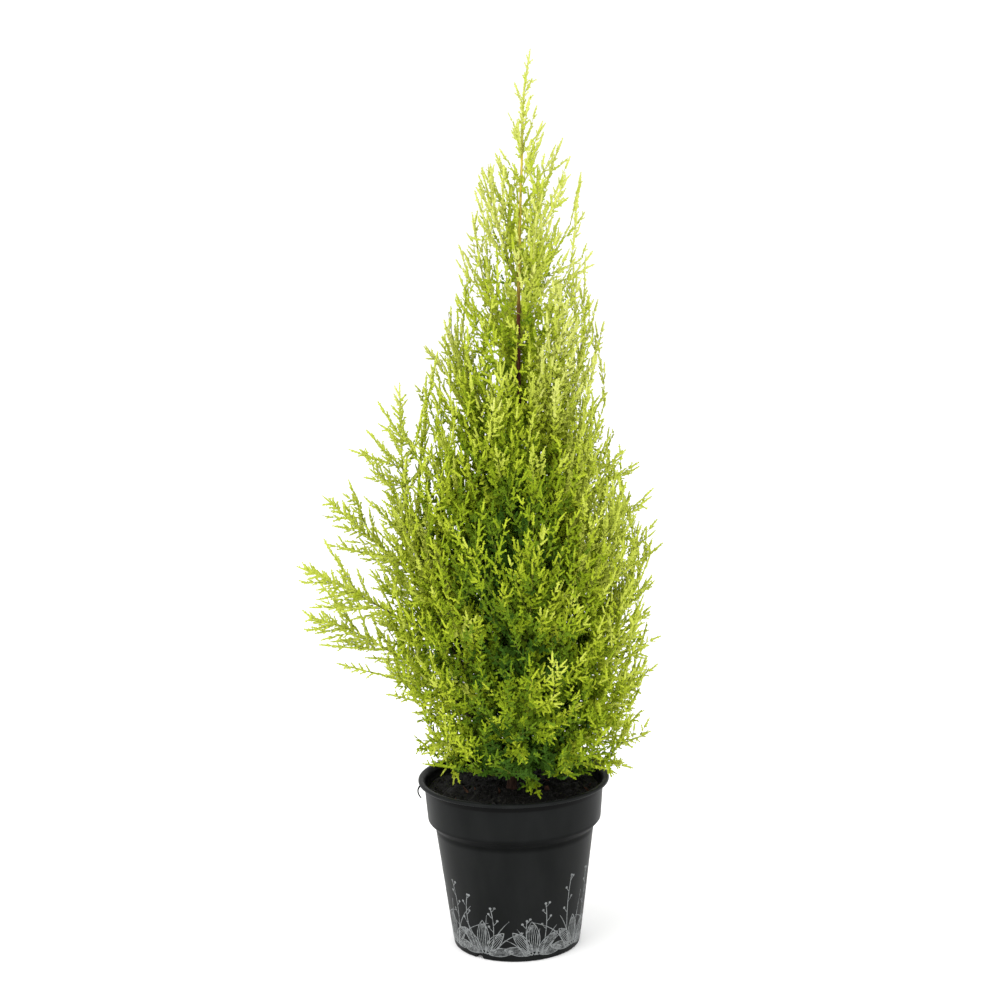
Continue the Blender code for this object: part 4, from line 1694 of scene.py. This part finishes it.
    def __post_init__(self) -> None:
        """Share the crown out among the plumes' lines."""
        self.plumes = self.form.plumes()
        lines = [[plume.point(share) for share in np.linspace(0.12, 1.0, 24)] for plume in self.plumes[:-1]]
        lines.append([self.form.trunk_point(height) for height in np.linspace(0.17, PLANT_TOP, 24)])
        self.lines = np.array(lines)
        self.shoots: list[Shoot] = []
        self.stems: list = []
        self.twigs: list = []
        self.wood: list[list] = [[] for _ in self.plumes]
        self.cells: dict[tuple, int] = {}
        self.rng = random.Random(7)
        self.current = 0
        self.limit = 1.0
        self.hangs = False
        self.reaches = False

    def nearest(self, points: Array) -> Array:
        """Distance of each point from each plume's line."""
        return np.linalg.norm(points[:, None, None, :] - self.lines[None, :, :, :], axis=3).min(axis=2)

    def cell(self, point: Array) -> tuple:
        """Cell of the crown's space that a point lies in, for counting shoots."""
        return tuple(int(value) for value in np.floor(point / self.cell_size))

    def room(self, points: Array) -> Array:
        """Which points lie in the current plume's space, the crown's outline and clear of the pot.

        Args:
            points: The points.

        Returns:
            Whether each has room.
        """
        away = self.nearest(points)
        own = away[:, self.current].copy()
        away[:, self.current] = np.inf
        overlap = self.overlap if self.current < len(self.plumes) - 1 else self.trunk_overlap
        good = (own < away.min(axis=1) + overlap) | self.reaches
        name = self.plumes[self.current].name
        if name.startswith(("side", "sweep")):
            good &= own < self.side_width
            if name.startswith("sweep") and not self.reaches:
                good &= points[:, 0] > self.plumes[self.current].tip[0] - self.side_margin
        else:
            good &= self.form.outward(points) < (self.farthest if self.reaches else self.limit)
        radial = np.hypot(points[:, 0], points[:, 1])
        mouth = radial < self.pot.inner_radius(POT_HEIGHT) - self.pot_margin
        lowest = self.hem + self.hem_slope * np.maximum(0.0, -points[:, 1])
        lowest += self.hem_left * np.maximum(0.0, -points[:, 0])
        if self.hangs:
            lowest = np.full(len(points), SOIL_LEVEL + self.pot_margin)
        floor = np.where(mouth, lowest, np.maximum(lowest, POT_HEIGHT + self.pot_margin))
        from_trunk = np.abs(points[:, 0] - self.form.trunk_x(points[:, 2]))
        opened = (points[:, 1] < 0.0) & (from_trunk < read(self.open_trunk, points[:, 2]))
        return good & ~opened & (points[:, 2] > floor) & (points[:, 2] < PLANT_TOP)

    def depth(self, point: Array) -> float:
        """How far a point lies inside the crown's outline."""
        return self.form.reach(point[2]) * (1.0 - float(self.form.outward(point[None, :])[0]))

    def tone(self, point: Array, light: float) -> Tone:
        """Tone of a shoot from its height, its depth in the crown and its spray's light.

        Args:
            point: Its place.
            light: Its spray's share of light.

        Returns:
            The tone.
        """
        # Painted shade: tones darken with depth inside the crown, with painted light near its surface
        depth = max(0.0, self.depth(point))
        lit = math.exp(-depth / self.lit_depth)
        surface = mix(1.0 - min(1.0, depth / self.dark_depth), lit, self.lit_share)
        height = point[2]
        across = float(self.form.sideways(point[None, :])[0])
        outermost = abs(across) if point[1] < 0.0 else float(self.form.outward(point[None, :])[0])
        # Painted light at the crown's outline and painted shade inside it, fading with height
        rim = read(self.side_lights, outermost) * read(self.side_fades, height)
        rim *= read(self.core_fades, height) if rim < 0.0 else 1.0
        # Painted light on the right side of the crown
        rim += self.right_light * max(0.0, across - self.right_from)
        away = self.nearest(point[None, :])[0]
        own = away[self.current]
        away[self.current] = np.inf
        # Painted shade where a shoot reaches towards another plume, painted light near its own plume's line
        seam = self.seam_light * min(1.0, max(-1.0, (away.min() - own) / self.seam_width))
        # Painted shade near the hem and painted light higher up; hanging tips take one lit level
        level = self.hanging_light if self.hangs else read(self.height_light, height)
        value = level + self.surface_light * surface + rim + seam + light
        palest = Tone.TIP if height > self.pale_above else Tone.LIME
        return Tone(int(min(palest.value, max(0, value * len(Tone)))))

    def add_shoot(self, base: Array, along: Array, length: float, light: float) -> bool:
        """One needled shoot, kept if its tip has room and its place isn't crowded.

        Args:
            base: Its root.
            along: Its direction.
            length: Its length.
            light: Its share of light.

        Returns:
            Whether it grew.
        """
        along = unit(along)
        if not self.room((base + along * length)[None, :])[0]:
            return False
        middle = base + along * length * 0.5
        cell = self.cell(middle)
        depth = self.depth(middle)
        if self.cells.get(cell, 0) >= (self.inner_crowd if depth > self.inner_depth else self.crowd):
            return False
        self.cells[cell] = self.cells.get(cell, 0) + 1
        kind = self.shape.pick(length, depth)
        side = unit(np.cross(along, UP + 0.01))
        roll = self.rng.uniform(0.0, math.tau)
        other = np.cross(along, side)
        x = side * math.cos(roll) + other * math.sin(roll)
        turn = Matrix(np.column_stack((x, np.cross(along, x), along)).tolist()).to_euler()
        size = length / self.shape.kinds[kind].length
        number = self.rng.randrange(self.shape.variants) + self.shape.variants * kind
        tone = self.tone(base + along * length * 0.6, light)
        self.shoots.append(Shoot(base, tuple(turn), size, number, tone, self.current))
        return True

    def add_twig(self, foot: Array, along: Array, length: float, habit: Habit, light: float,
                 branches: bool) -> bool:
        """One side twig, trimmed where it leaves its space, with its shoots and sub-twigs.

        Args:
            foot: Where it leaves its parent.
            along: Its first direction.
            length: Its wanted length.
            habit: How it branches.
            light: Its spray's share of light, for the tone.
            branches: Whether it bears sub-twigs.

        Returns:
            Whether any of it grew.
        """
        self.limit = self.rng.uniform(*self.ragged) if branches else self.limit
        steps = next(count for longest, count in self.twig_points if length < longest)
        lift = self.lift(foot, habit)
        shares = np.linspace(0.0, 1.0, steps)
        points = np.array([foot + (along * t + lift * t * t * 0.5) * length for t in shares])
        good = self.room(points)
        good[0] = True
        kept = steps if good.all() else int(np.argmin(good))
        if kept < 3:
            short = min(self.short_shoots[1], length / (steps - 1) * 1.4)
            return kept == 2 and self.add_shoot(foot, along, short, light)
        points = points[:kept]
        length *= (kept - 1) / (steps - 1)
        radius = self.twig_radius + self.twig_taper * length
        reached = self.add_shoots_on(points, length, habit, light, branches)
        points = points[:1 + math.ceil(reached * (kept - 1) - 0.01)]
        if len(points) < 2:
            return False
        self.twigs.append((points, radius, self.twig_radius))
        self.wood[self.current].extend(points[1:])
        return True

    def lift(self, foot: Array, habit: Habit) -> Array:
        """How a twig from a foot bends as it grows: upwards and a little away from the trunk."""
        return UP * habit.rise + unit(self.form.away(foot)) * self.out_bend

    def add_shoots_on(self, points: Array, length: float, habit: Habit, light: float,
                      branches: bool) -> float:
        """Shoots and sub-twigs along a twig, in two loose ranks, and one on its tip.

        Args:
            points: The twig's line.
            length: Its length.
            habit: How it branches.
            light: Its spray's share of light.
            branches: Whether it bears sub-twigs.

        Returns:
            Share of the twig's length where the last shoot that found room stands.
        """
        rng = self.rng
        reached = 0.0
        count = max(1, int(length / habit.shoot_step))
        end = unit(points[-1] - points[-2])
        for index in range(count):
            share = (index + 0.9) / (count + 0.6)
            if share < 0.1:
                continue
            place = share * (len(points) - 1)
            low = int(place)
            after = points[min(low + 1, len(points) - 1)]
            base = points[low] + (after - points[low]) * (place - low)
            along = unit(after - points[low]) if low + 1 < len(points) else end
            outward = self.form.away(base, 0.25 * abs(base[0]) + 0.01)
            across = unit(np.cross(along, outward))
            face = np.cross(across, along)
            around = index % 2 * math.pi + rng.uniform(-1.0, 1.0) * mix(1.5, 0.35, habit.flat)
            angle = math.radians(habit.shoot_angle * mix(1.0, 0.82, share) + rng.uniform(-9.0, 9.0))
            side = across * math.cos(around) + face * math.sin(around)
            direction = unit(along * math.cos(angle) + side * math.sin(angle) + UP * 0.06)
            shine = light + mix(*(self.branch_lights if branches else self.spray_lights), share)
            forks = share < self.branched_share and length > self.shortest_branched
            if branches and index % 2 == 0 and forks:
                longest = min(length * self.sub_twig_share, habit.spread)
                reach = longest * mix(1.0, 0.6, share) * rng.uniform(0.8, 1.15)
                if self.add_twig(base, direction, reach, habit, shine, False):
                    reached = share
                continue
            size = habit.shoot_length * mix(1.1, 0.72, share) * rng.uniform(0.75, 1.18)
            if not branches:
                size *= 0.88
            if self.add_shoot(base, direction, size, shine):
                reached = share
        if length > self.clothed_from:
            self.clothe(points, length, light + self.young_light)
        tip = self.tip_shoots[branches]
        shine = light + (self.young_light if branches else self.spray_lights[1])
        backs = (0.002, tip - 0.001)
        tipped = any(self.add_shoot(points[-1] - end * back, end, tip, shine) for back in backs)
        return 1.0 if tipped else reached

    def clothe(self, points: Array, length: float, light: float) -> None:
        """A long shoot laid along the young end of a twig, so that needles clothe it."""
        base = points[max(0, len(points) - 1 - math.ceil(self.clothed_end / length * (len(points) - 1)))]
        self.add_shoot(base, points[-1] - base, self.clothes_length, light)

    def grow(self, index: int) -> None:
        """Grow one plume: its stem, its side twigs by the golden angle, and its tip.

        Args:
            index: The plume's number.
        """
        self.current = index
        plume = self.plumes[index]
        habit = plume.habit
        rng = self.rng = random.Random(300 + index)
        total = plume.length()
        start = max(self.form.limb_start(plume), plume.limb)
        margin = self.tip_margin / total
        shares = np.linspace(start, 1.0 - margin, 14)
        stem = np.array([plume.point(share) for share in shares])
        self.limit = 1.0
        last = int(np.flatnonzero(self.room(stem))[-1])
        end = float(shares[last])
        stem = stem[:last + 1]
        self.stems.append((stem, *self.form.stem_radii))
        self.wood[index].extend(stem)
        count = int(total * (0.985 - start) / habit.twig_step)
        around = rng.uniform(0.0, math.tau)
        mood = rng.uniform(-self.mood, self.mood) + (self.side_light if habit is SIDE else 0.0)
        for step in range(count):
            share = mix(start + 0.02, 0.985, (step + rng.uniform(0.2, 0.8)) / count)
            if share > end:
                break
            foot = plume.point(share)
            left = total * (min(1.0, end + margin) - share)
            reach = min(habit.twig_length, 0.007 + 0.52 * left) * rng.uniform(0.78, 1.08)
            axis = plume.direction(share)
            turn = around + step * GOLDEN_ANGLE
            across = unit(np.cross(axis, self.form.away(foot, 0.02)))
            face = np.cross(across, axis)
            side = across * math.cos(turn) + face * math.sin(turn) * mix(1.0, 0.55, habit.flat)
            angle = math.radians(habit.twig_angle + rng.uniform(-6.0, 6.0))
            if habit is SIDE:
                side = face * math.cos(turn) + across * math.sin(turn) * 0.6
                if step % self.side_every == 1:
                    reach = min(habit.twig_length, 0.004 + 0.62 * left) * rng.uniform(0.85, 1.05)
                    turned = face * (-1) ** (step // self.side_every)
                    side = np.array((-1.0, 0.2, 0.0)) if plume.name == "side_leader" else turned
                    angle *= 0.8
                else:
                    reach = min(self.side_reach, 0.005 + 0.3 * left) * rng.uniform(0.75, 1.1)
            direction = unit(axis * math.cos(angle) + unit(side) * math.sin(angle))
            light = mood + rng.uniform(-self.twig_mood, self.twig_mood)
            if reach > self.shortest_twig:
                self.add_twig(foot, direction, reach, habit, light, True)
            else:
                short = min(self.short_shoots[1], max(self.short_shoots[0], reach))
                self.add_shoot(foot, direction, short, light + self.young_light)
        for step in range(8):
            share = end - (0.0045 + 0.012 * step) / total
            axis = plume.direction(min(1.0, share + 0.03))
            self.add_shoot(plume.point(share), axis, self.stem_tip_shoot, mood + self.tip_light)
        if habit in (SIDE, LEADER):
            self.clothe_side(plume, mood, self.side_shoot if habit is SIDE else self.leader_shoot)

    def clothe_side(self, plume: Plume, mood: float, length: float) -> None:
        """Short shoots straight on a plume's stem, all round it.

        Args:
            plume: The plume.
            mood: Its share of light.
            length: Length of the shoots.
        """
        rng = self.rng
        total = plume.length()
        count = int(total * 0.68 / self.side_clothes)
        for step in range(count):
            share = mix(0.28, 0.96, step / count)
            axis = plume.direction(share)
            side = unit(np.cross(axis, (math.cos(step * GOLDEN_ANGLE), math.sin(step * GOLDEN_ANGLE), 0.3)))
            along = axis * 0.75 + side * 0.65
            self.add_shoot(plume.point(share), along, length, mood + rng.uniform(-0.1, 0.05))

    def reach_out(self, tips: Sequence[Place], wanted: Place, light: float,
                  habit: Optional[Habit] = None) -> None:
        """Grow a spray to each of some tips, from wood that lies a twig's length away.

        Args:
            tips: Where the sprays end.
            wanted: Direction that they should grow in.
            light: Their share of light.
            habit: How they branch, if not as their plume does.
        """
        wood = np.array([point for points in self.wood for point in points])
        owners = [index for index, points in enumerate(self.wood) for _ in points]
        for tip in np.array(tips):
            runs, lengths = self.runs(wood, tip)
            fits = self.straightness * (runs @ unit(np.array(wanted))) / lengths
            costs = np.abs(lengths - self.reach_length) - fits
            best = int(costs.argmin())
            self.current = owners[best]
            kind = habit or self.plumes[self.current].habit
            along = runs[best] / lengths[best] - self.lift(wood[best], kind) / 2.0
            self.add_twig(wood[best], along, float(lengths[best]) - self.reach_end, kind, light, True)

    def runs(self, wood: Array, goal: Array) -> tuple[Array, Array]:
        """Ways from places on the wood to a goal, and their lengths."""
        runs = goal - wood
        return runs, np.maximum(np.linalg.norm(runs, axis=1), 1e-6)

    def grow_on_trunk(self) -> None:
        """Short twigs straight on the trunk, all the way up, which hide it in the crown."""
        self.current = len(self.plumes) - 1
        self.rng = random.Random(90)
        heights = np.concatenate([np.arange(*steps) for steps in self.trunk_steps])
        for step, height in enumerate(heights):
            if self.bare_trunk[0] < height < self.bare_trunk[1] and step % 2:
                continue
            side = spoke(step * GOLDEN_ANGLE + self.rng.uniform(-0.3, 0.3))
            angle = math.radians(self.rng.uniform(26.0, 38.0))
            along = side * math.sin(angle) + UP * math.cos(angle)
            longest = self.trunk_twig if height < 0.56 else self.trunk_spike
            reach = min(longest, 0.62 * (PLANT_TOP - height)) * self.rng.uniform(0.5, 1.1)
            habit = HEART if height < 0.5 else SPIRE
            light = self.rng.uniform(-0.05, 0.05)
            self.add_twig(self.form.trunk_point(height), along, reach, habit, light, True)

    def spots(self) -> tuple[Array, Array]:
        """Jittered spots all through the crown, and the plume whose space each lies in.

        Returns:
            The spots and the plumes' numbers.
        """
        rng = np.random.default_rng(11)
        widest = max(reach for _, reach in self.form.outline)
        across = np.arange(-widest, widest, self.spot_step)
        heights = np.arange(SOIL_LEVEL + 0.014, self.fill_top, self.spot_step)
        grid = np.array(np.meshgrid(across, across, heights)).reshape(3, -1).T
        grid += rng.uniform(-0.5, 0.5, grid.shape) * self.spot_step
        outward = self.form.outward(grid)
        grid = grid[(outward < self.spot_outward) & (outward > self.spot_inward)]
        rng.shuffle(grid)
        owners = [self.nearest(part).argmin(axis=1) for part in np.array_split(grid, 20)]
        return grid, np.concatenate(owners)

    def is_empty(self, spot: Array) -> bool:
        """Whether too few shoots stand in the cells round a spot.

        Args:
            spot: The spot.

        Returns:
            Whether it is empty.
        """
        x, y, z = self.cell(spot)
        wanted = next(count for top, count in self.fill_counts if spot[2] < top)
        steps = (-1, 0, 1)
        near = (self.cells.get((x + i, y + j, z + k), 0) for i in steps for j in steps for k in steps)
        return sum(near) < wanted

    def fill_gaps(self) -> None:
        """Grow a twig from the nearest wood to every spot of the crown that is still empty."""
        rng = self.rng = random.Random(120)
        for spot, owner in zip(*self.spots()):
            if not self.wood[owner] or not self.is_empty(spot):
                continue
            self.current = int(owner)
            wood = np.array(self.wood[owner])
            runs, lengths = self.runs(wood, spot)
            outward = unit(self.form.away(spot))
            wanted = unit(outward * mix(1.1, 0.3, min(1.0, (spot[2] - SOIL_LEVEL) / 0.22)) + UP)
            costs = lengths * (1.6 - runs @ wanted / lengths) + np.where(lengths < self.least_fill, 1.0, 0.0)
            best = int(costs.argmin())
            along = runs[best] / lengths[best]
            reach = min(self.longest_fill, float(lengths[best]) + 0.01)
            # Painted shade: fill twigs take darker tones, so the gaps read as deep shade
            light = rng.uniform(*self.fill_light)
            self.add_twig(wood[best], along, reach, self.plumes[owner].habit, light, reach > 0.03)

    def grow_all(self) -> None:
        """Grow every plume, then the trunk's own twigs, then twigs into the gaps that are left."""
        for index in range(len(self.plumes)):
            self.grow(index)
        self.reaches = True
        self.reach_out(self.left_tips, (-1.0, 0.0, 0.3), self.reach_light)
        self.reach_out(self.right_tips, (1.0, 0.0, 0.5), self.reach_light)
        self.reach_out(self.top_left_tips, (-0.4, 0.0, 1.0), self.reach_light)
        self.reach_out(self.top_right_tips, (0.4, 0.0, 1.0), self.reach_light)
        self.reach_out(self.front_tips, (0.0, -0.3, 1.0), self.front_light)
        self.reaches = False
        self.hangs = True
        self.reach_out(self.hanging_tips, (0.3, -1.0, -0.4), self.reach_light, SKIRT)
        self.hangs = False
        self.grow_on_trunk()
        log.info("%d shoots before the gaps are filled", len(self.shoots))
        self.fill_gaps()


@dataclass
class Wood:
    """The trunk and the boughs, with their bark's relief."""

    form: Form
    growth: Growth
    trunk_sides: int = 20
    trunk_rings: int = 220
    bough_sides: int = 10
    bough_rings: int = 34
    relief: float = 0.16
    relief_shift: float = 3.7
    sunk: float = 0.0015
    crowding: float = 1.15
    bough_overlap: float = 0.02
    trunk_bark: BarkFinish = BarkFinish(
        "trunk_bark", (0.042, 0.017, 0.009), (0.15, 0.046, 0.018), (0.62, 0.52, 0.07))
    bough_bark: BarkFinish = BarkFinish(
        "bough_bark", (0.048, 0.036, 0.012), (0.105, 0.07, 0.02), (0.2, 0.2, 0.05))

    def trunk(self) -> Shell:
        """The trunk from its foot, a little in the soil, to its tip.

        Returns:
            Its shell.
        """
        height = self.form.trunk_end - SOIL_LEVEL + self.sunk
        shares = [(step / self.trunk_rings) ** self.crowding for step in range(self.trunk_rings + 1)]
        heights = [SOIL_LEVEL - self.sunk + height * share for share in shares]
        points = [self.form.trunk_point(height) for height in heights]
        radii = [self.form.trunk_radius(max(height, SOIL_LEVEL)) for height in heights]
        return Shell(*tube_mesh(tube_rings(points, radii, self.trunk_sides, self.relief)))

    def boughs(self) -> Shell:
        """The bare boughs, joined in one piece.

        Returns:
            Their shell.
        """
        shell = Shell()
        for index, plume in enumerate(self.growth.plumes):
            if not plume.limb:
                continue
            ends = (self.form.limb_start(plume), plume.limb + self.bough_overlap)
            points = [plume.point(share) for share in np.linspace(*ends, self.bough_rings)]
            last = self.bough_rings - 1
            radii = [mix(*self.form.limb_radii, step / last) for step in range(self.bough_rings)]
            shift = index * self.relief_shift
            shell.add(*tube_mesh(tube_rings(points, radii, self.bough_sides, self.relief, shift)))
        return shell

    def dress(self) -> None:
        """Build the wood and give it its bark."""
        limbs = ["bough_" + plume.name for plume in self.growth.plumes if plume.limb]
        parts = ((self.trunk(), self.trunk_bark, ["trunk"]), (self.boughs(), self.bough_bark, limbs))
        for shell, finish, nodes in parts:
            piece = make_object(finish.name, shell.vertices, shell.faces)
            piece.data.shade_smooth()
            piece.data.materials.append(finish.make())
            seat(piece, Slot.BARK, nodes)


@dataclass
class Crown:
    """The crown's twigs and needled shoots, as plain meshes."""

    growth: Growth
    shape: ShootShape
    most_triangles: int = 190000
    stem_sides: int = 5
    twig_sides: int = 3
    stem_skin: BarkFinish = BarkFinish(
        "stem_skin", (0.105, 0.115, 0.014), (0.21, 0.225, 0.026), (0.43, 0.44, 0.075),
        (0.15, 0.3, 0.52, 0.68))
    twig_skin: BarkFinish = BarkFinish(
        "twig_skin", (0.13, 0.17, 0.01), (0.26, 0.32, 0.018), (0.5, 0.54, 0.095),
        (0.15, 0.28, 0.5, 0.68))

    def lines(self, name: str, twigs: Sequence, sides: int, finish: BarkFinish) -> None:
        """Give a list of twig lines a round body.

        Args:
            name: Name of the piece.
            twigs: Points, root radius and tip radius of each twig.
            sides: Sides of the round body.
            finish: The twigs' skin.
        """
        vertices, edges, thick = [], [], []
        for points, low, high in twigs:
            first = len(vertices)
            vertices.extend(points)
            edges.extend((first + step, first + step + 1) for step in range(len(points) - 1))
            thick.extend(np.linspace(low, high, len(points)))
        thing = make_object(name, vertices, [], edges)
        thing.data.attributes.new("thick", "FLOAT", "POINT").data.foreach_set("value", thick)
        piece = twig_tree().run(thing, Sides=sides, Material=finish.make())
        seat(piece, Slot.FOLIAGE)

    def spread(self, tree: Tree, shapes: Collection) -> None:
        """Set the shoots tone by tone, in pieces that stay small enough, and tie the pieces.

        Args:
            tree: Tree that sets the shoots.
            shapes: The kinds of shoot in their variants.
        """
        shoots = self.growth.shoots
        tones = np.array([shoot.tone.value for shoot in shoots])
        costs = [triangle_count(thing) for thing in shapes.objects]
        pieces: list[tuple[Object, Slot]] = []
        shares: dict[int, list] = {}
        for tone in Tone:
            picked = np.flatnonzero(tones == tone.value)
            if not len(picked):
                continue
            finish = LeafFinish("needles_" + tone.name.lower(), TONES[tone])
            material = finish.make()
            slot = Slot.TIP if tone.value >= Tone.LIME.value else Slot.FOLIAGE
            parts = sum(costs[shoots[index].kind] for index in picked) // self.most_triangles + 1
            for part, numbers in enumerate(np.array_split(picked, parts)):
                chosen = [shoots[index] for index in numbers]
                piece = self.shoot_piece(f"{finish.name}_{part + 1}", chosen, tree, shapes, material)
                for plume, count in zip(*np.unique([shoot.plume for shoot in chosen], return_counts=True)):
                    shares.setdefault(int(plume), []).append((int(count), piece.name))
                pieces.append((piece, slot))
        nodes: dict[str, list[str]] = {}
        for plume, counts in shares.items():
            nodes.setdefault(max(counts)[1], []).append("foliage_" + self.growth.plumes[plume].name)
        for piece, slot in pieces:
            seat(piece, slot, nodes.get(piece.name, []))

    def shoot_piece(self, name: str, shoots: Sequence[Shoot], tree: Tree, shapes: Collection,
                    material: Material) -> Object:
        """One piece of joined shoots.

        Args:
            name: Name of the piece.
            shoots: Its shoots.
            tree: Tree that sets them.
            shapes: The kinds of shoot in their variants.
            material: Their tone.

        Returns:
            The piece.
        """
        thing = make_object(name, [shoot.base for shoot in shoots], [])
        columns = (
            ("turn", "FLOAT_VECTOR", "vector", np.float32),
            ("size", "FLOAT", "value", np.float32),
            ("kind", "INT", "value", np.int32),
        )
        for key, kind, place, number in columns:
            values = np.array([getattr(shoot, key) for shoot in shoots], number)
            thing.data.attributes.new(key, kind, "POINT").data.foreach_set(place, values.ravel())
        return tree.run(thing, Shoots=shapes, Thickness=1.0, Material=material)

    def dress(self) -> None:
        """Build the twigs and the shoots."""
        self.lines("plume_stems", self.growth.stems, self.stem_sides, self.stem_skin)
        self.lines("side_twigs", self.growth.twigs, self.twig_sides, self.twig_skin)
        shapes = self.shape.collection()
        self.spread(shoot_tree(), shapes)
        drop_group(shapes)
        log.info("%d shoots, %d twigs", len(self.growth.shoots), len(self.growth.twigs))


@dataclass
class Studio:
    """Pale floor, soft white light and the camera at the photograph's place."""

    camera_place: Place = (-0.0064, -1.8913, 0.7404)
    pitch: float = 0.1768
    roll: float = 0.0231
    lens: float = 79.41
    sensor: float = 36.0
    floor_size: float = 80.0
    floor_glow: float = 0.1
    world_strength: float = 1.12
    key_place: Place = (-1.7, -1.3, 2.1)
    key_size: float = 2.4
    key_watts: float = 42.0
    fill_place: Place = (1.9, -1.5, 1.3)
    fill_watts: float = 18.0
    target: Place = (0.0, 0.0, 0.42)

    def camera(self) -> None:
        """Set the camera as the photograph was taken."""
        data = bpy.data.cameras.new("camera")
        data.lens = self.lens
        data.sensor_width = self.sensor
        camera = bpy.data.objects.new("camera", data)
        turn = Matrix.Rotation(math.pi / 2 - self.pitch, 4, "X") @ Matrix.Rotation(-self.roll, 4, "Z")
        camera.matrix_world = Matrix.Translation(self.camera_place) @ turn
        bpy.context.scene.collection.objects.link(camera)
        bpy.context.scene.camera = camera

    def area_light(self, name: str, place: Place, watts: float) -> None:
        """One soft square light that looks at the plant.

        Args:
            name: Its name.
            place: Where it stands.
            watts: Its power.
        """
        data = bpy.data.lights.new(name, "AREA")
        data.size = self.key_size
        data.energy = watts
        light = bpy.data.objects.new(name, data)
        light.location = place
        light.rotation_euler = (Vector(self.target) - Vector(place)).to_track_quat("-Z", "Y").to_euler()
        bpy.context.scene.collection.objects.link(light)

    def floor(self) -> None:
        """The plain pale floor."""
        half = self.floor_size / 2.0
        corners = [(-half, -half, 0.0), (half, -half, 0.0), (half, half, 0.0), (-half, half, 0.0)]
        floor = make_object("floor", corners, [(0, 1, 2, 3)])
        mixer = Mixer("pale_floor")
        mixer.set(Base_Color=(0.96, 0.96, 0.96), Roughness=0.9, Specular_IOR_Level=0.1)
        mixer.set(Emission_Color=WHITE, Emission_Strength=self.floor_glow)
        floor.data.materials.append(mixer.material)

    def build(self) -> None:
        """Set up the whole studio."""
        scene = bpy.context.scene
        world = bpy.data.worlds.new("white_studio")
        world.use_nodes = True
        background = world.node_tree.nodes["Background"]
        background.inputs["Color"].default_value = (*WHITE, 1.0)
        background.inputs["Strength"].default_value = self.world_strength
        scene.world = world
        scene.view_settings.view_transform = "Standard"
        self.camera()
        self.area_light("key_light", self.key_place, self.key_watts)
        self.area_light("fill_light", self.fill_place, self.fill_watts)
        self.floor()


def main() -> None:
    """Build the studio and dress the pot, the soil, the wood and the crown."""
    logging.basicConfig(level=logging.INFO, format="%(name)s: %(message)s")
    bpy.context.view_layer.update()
    Studio().build()
    pot = Pot()
    pot.dress(PlasticFinish())
    PrintedBand(pot).dress(InkFinish())
    Soil(pot).dress()
    form = Form()
    shape = ShootShape()
    growth = Growth(form, pot, shape)
    growth.grow_all()
    Wood(form, growth).dress()
    Crown(growth, shape).dress()


if __name__ == "__main__":
    main()
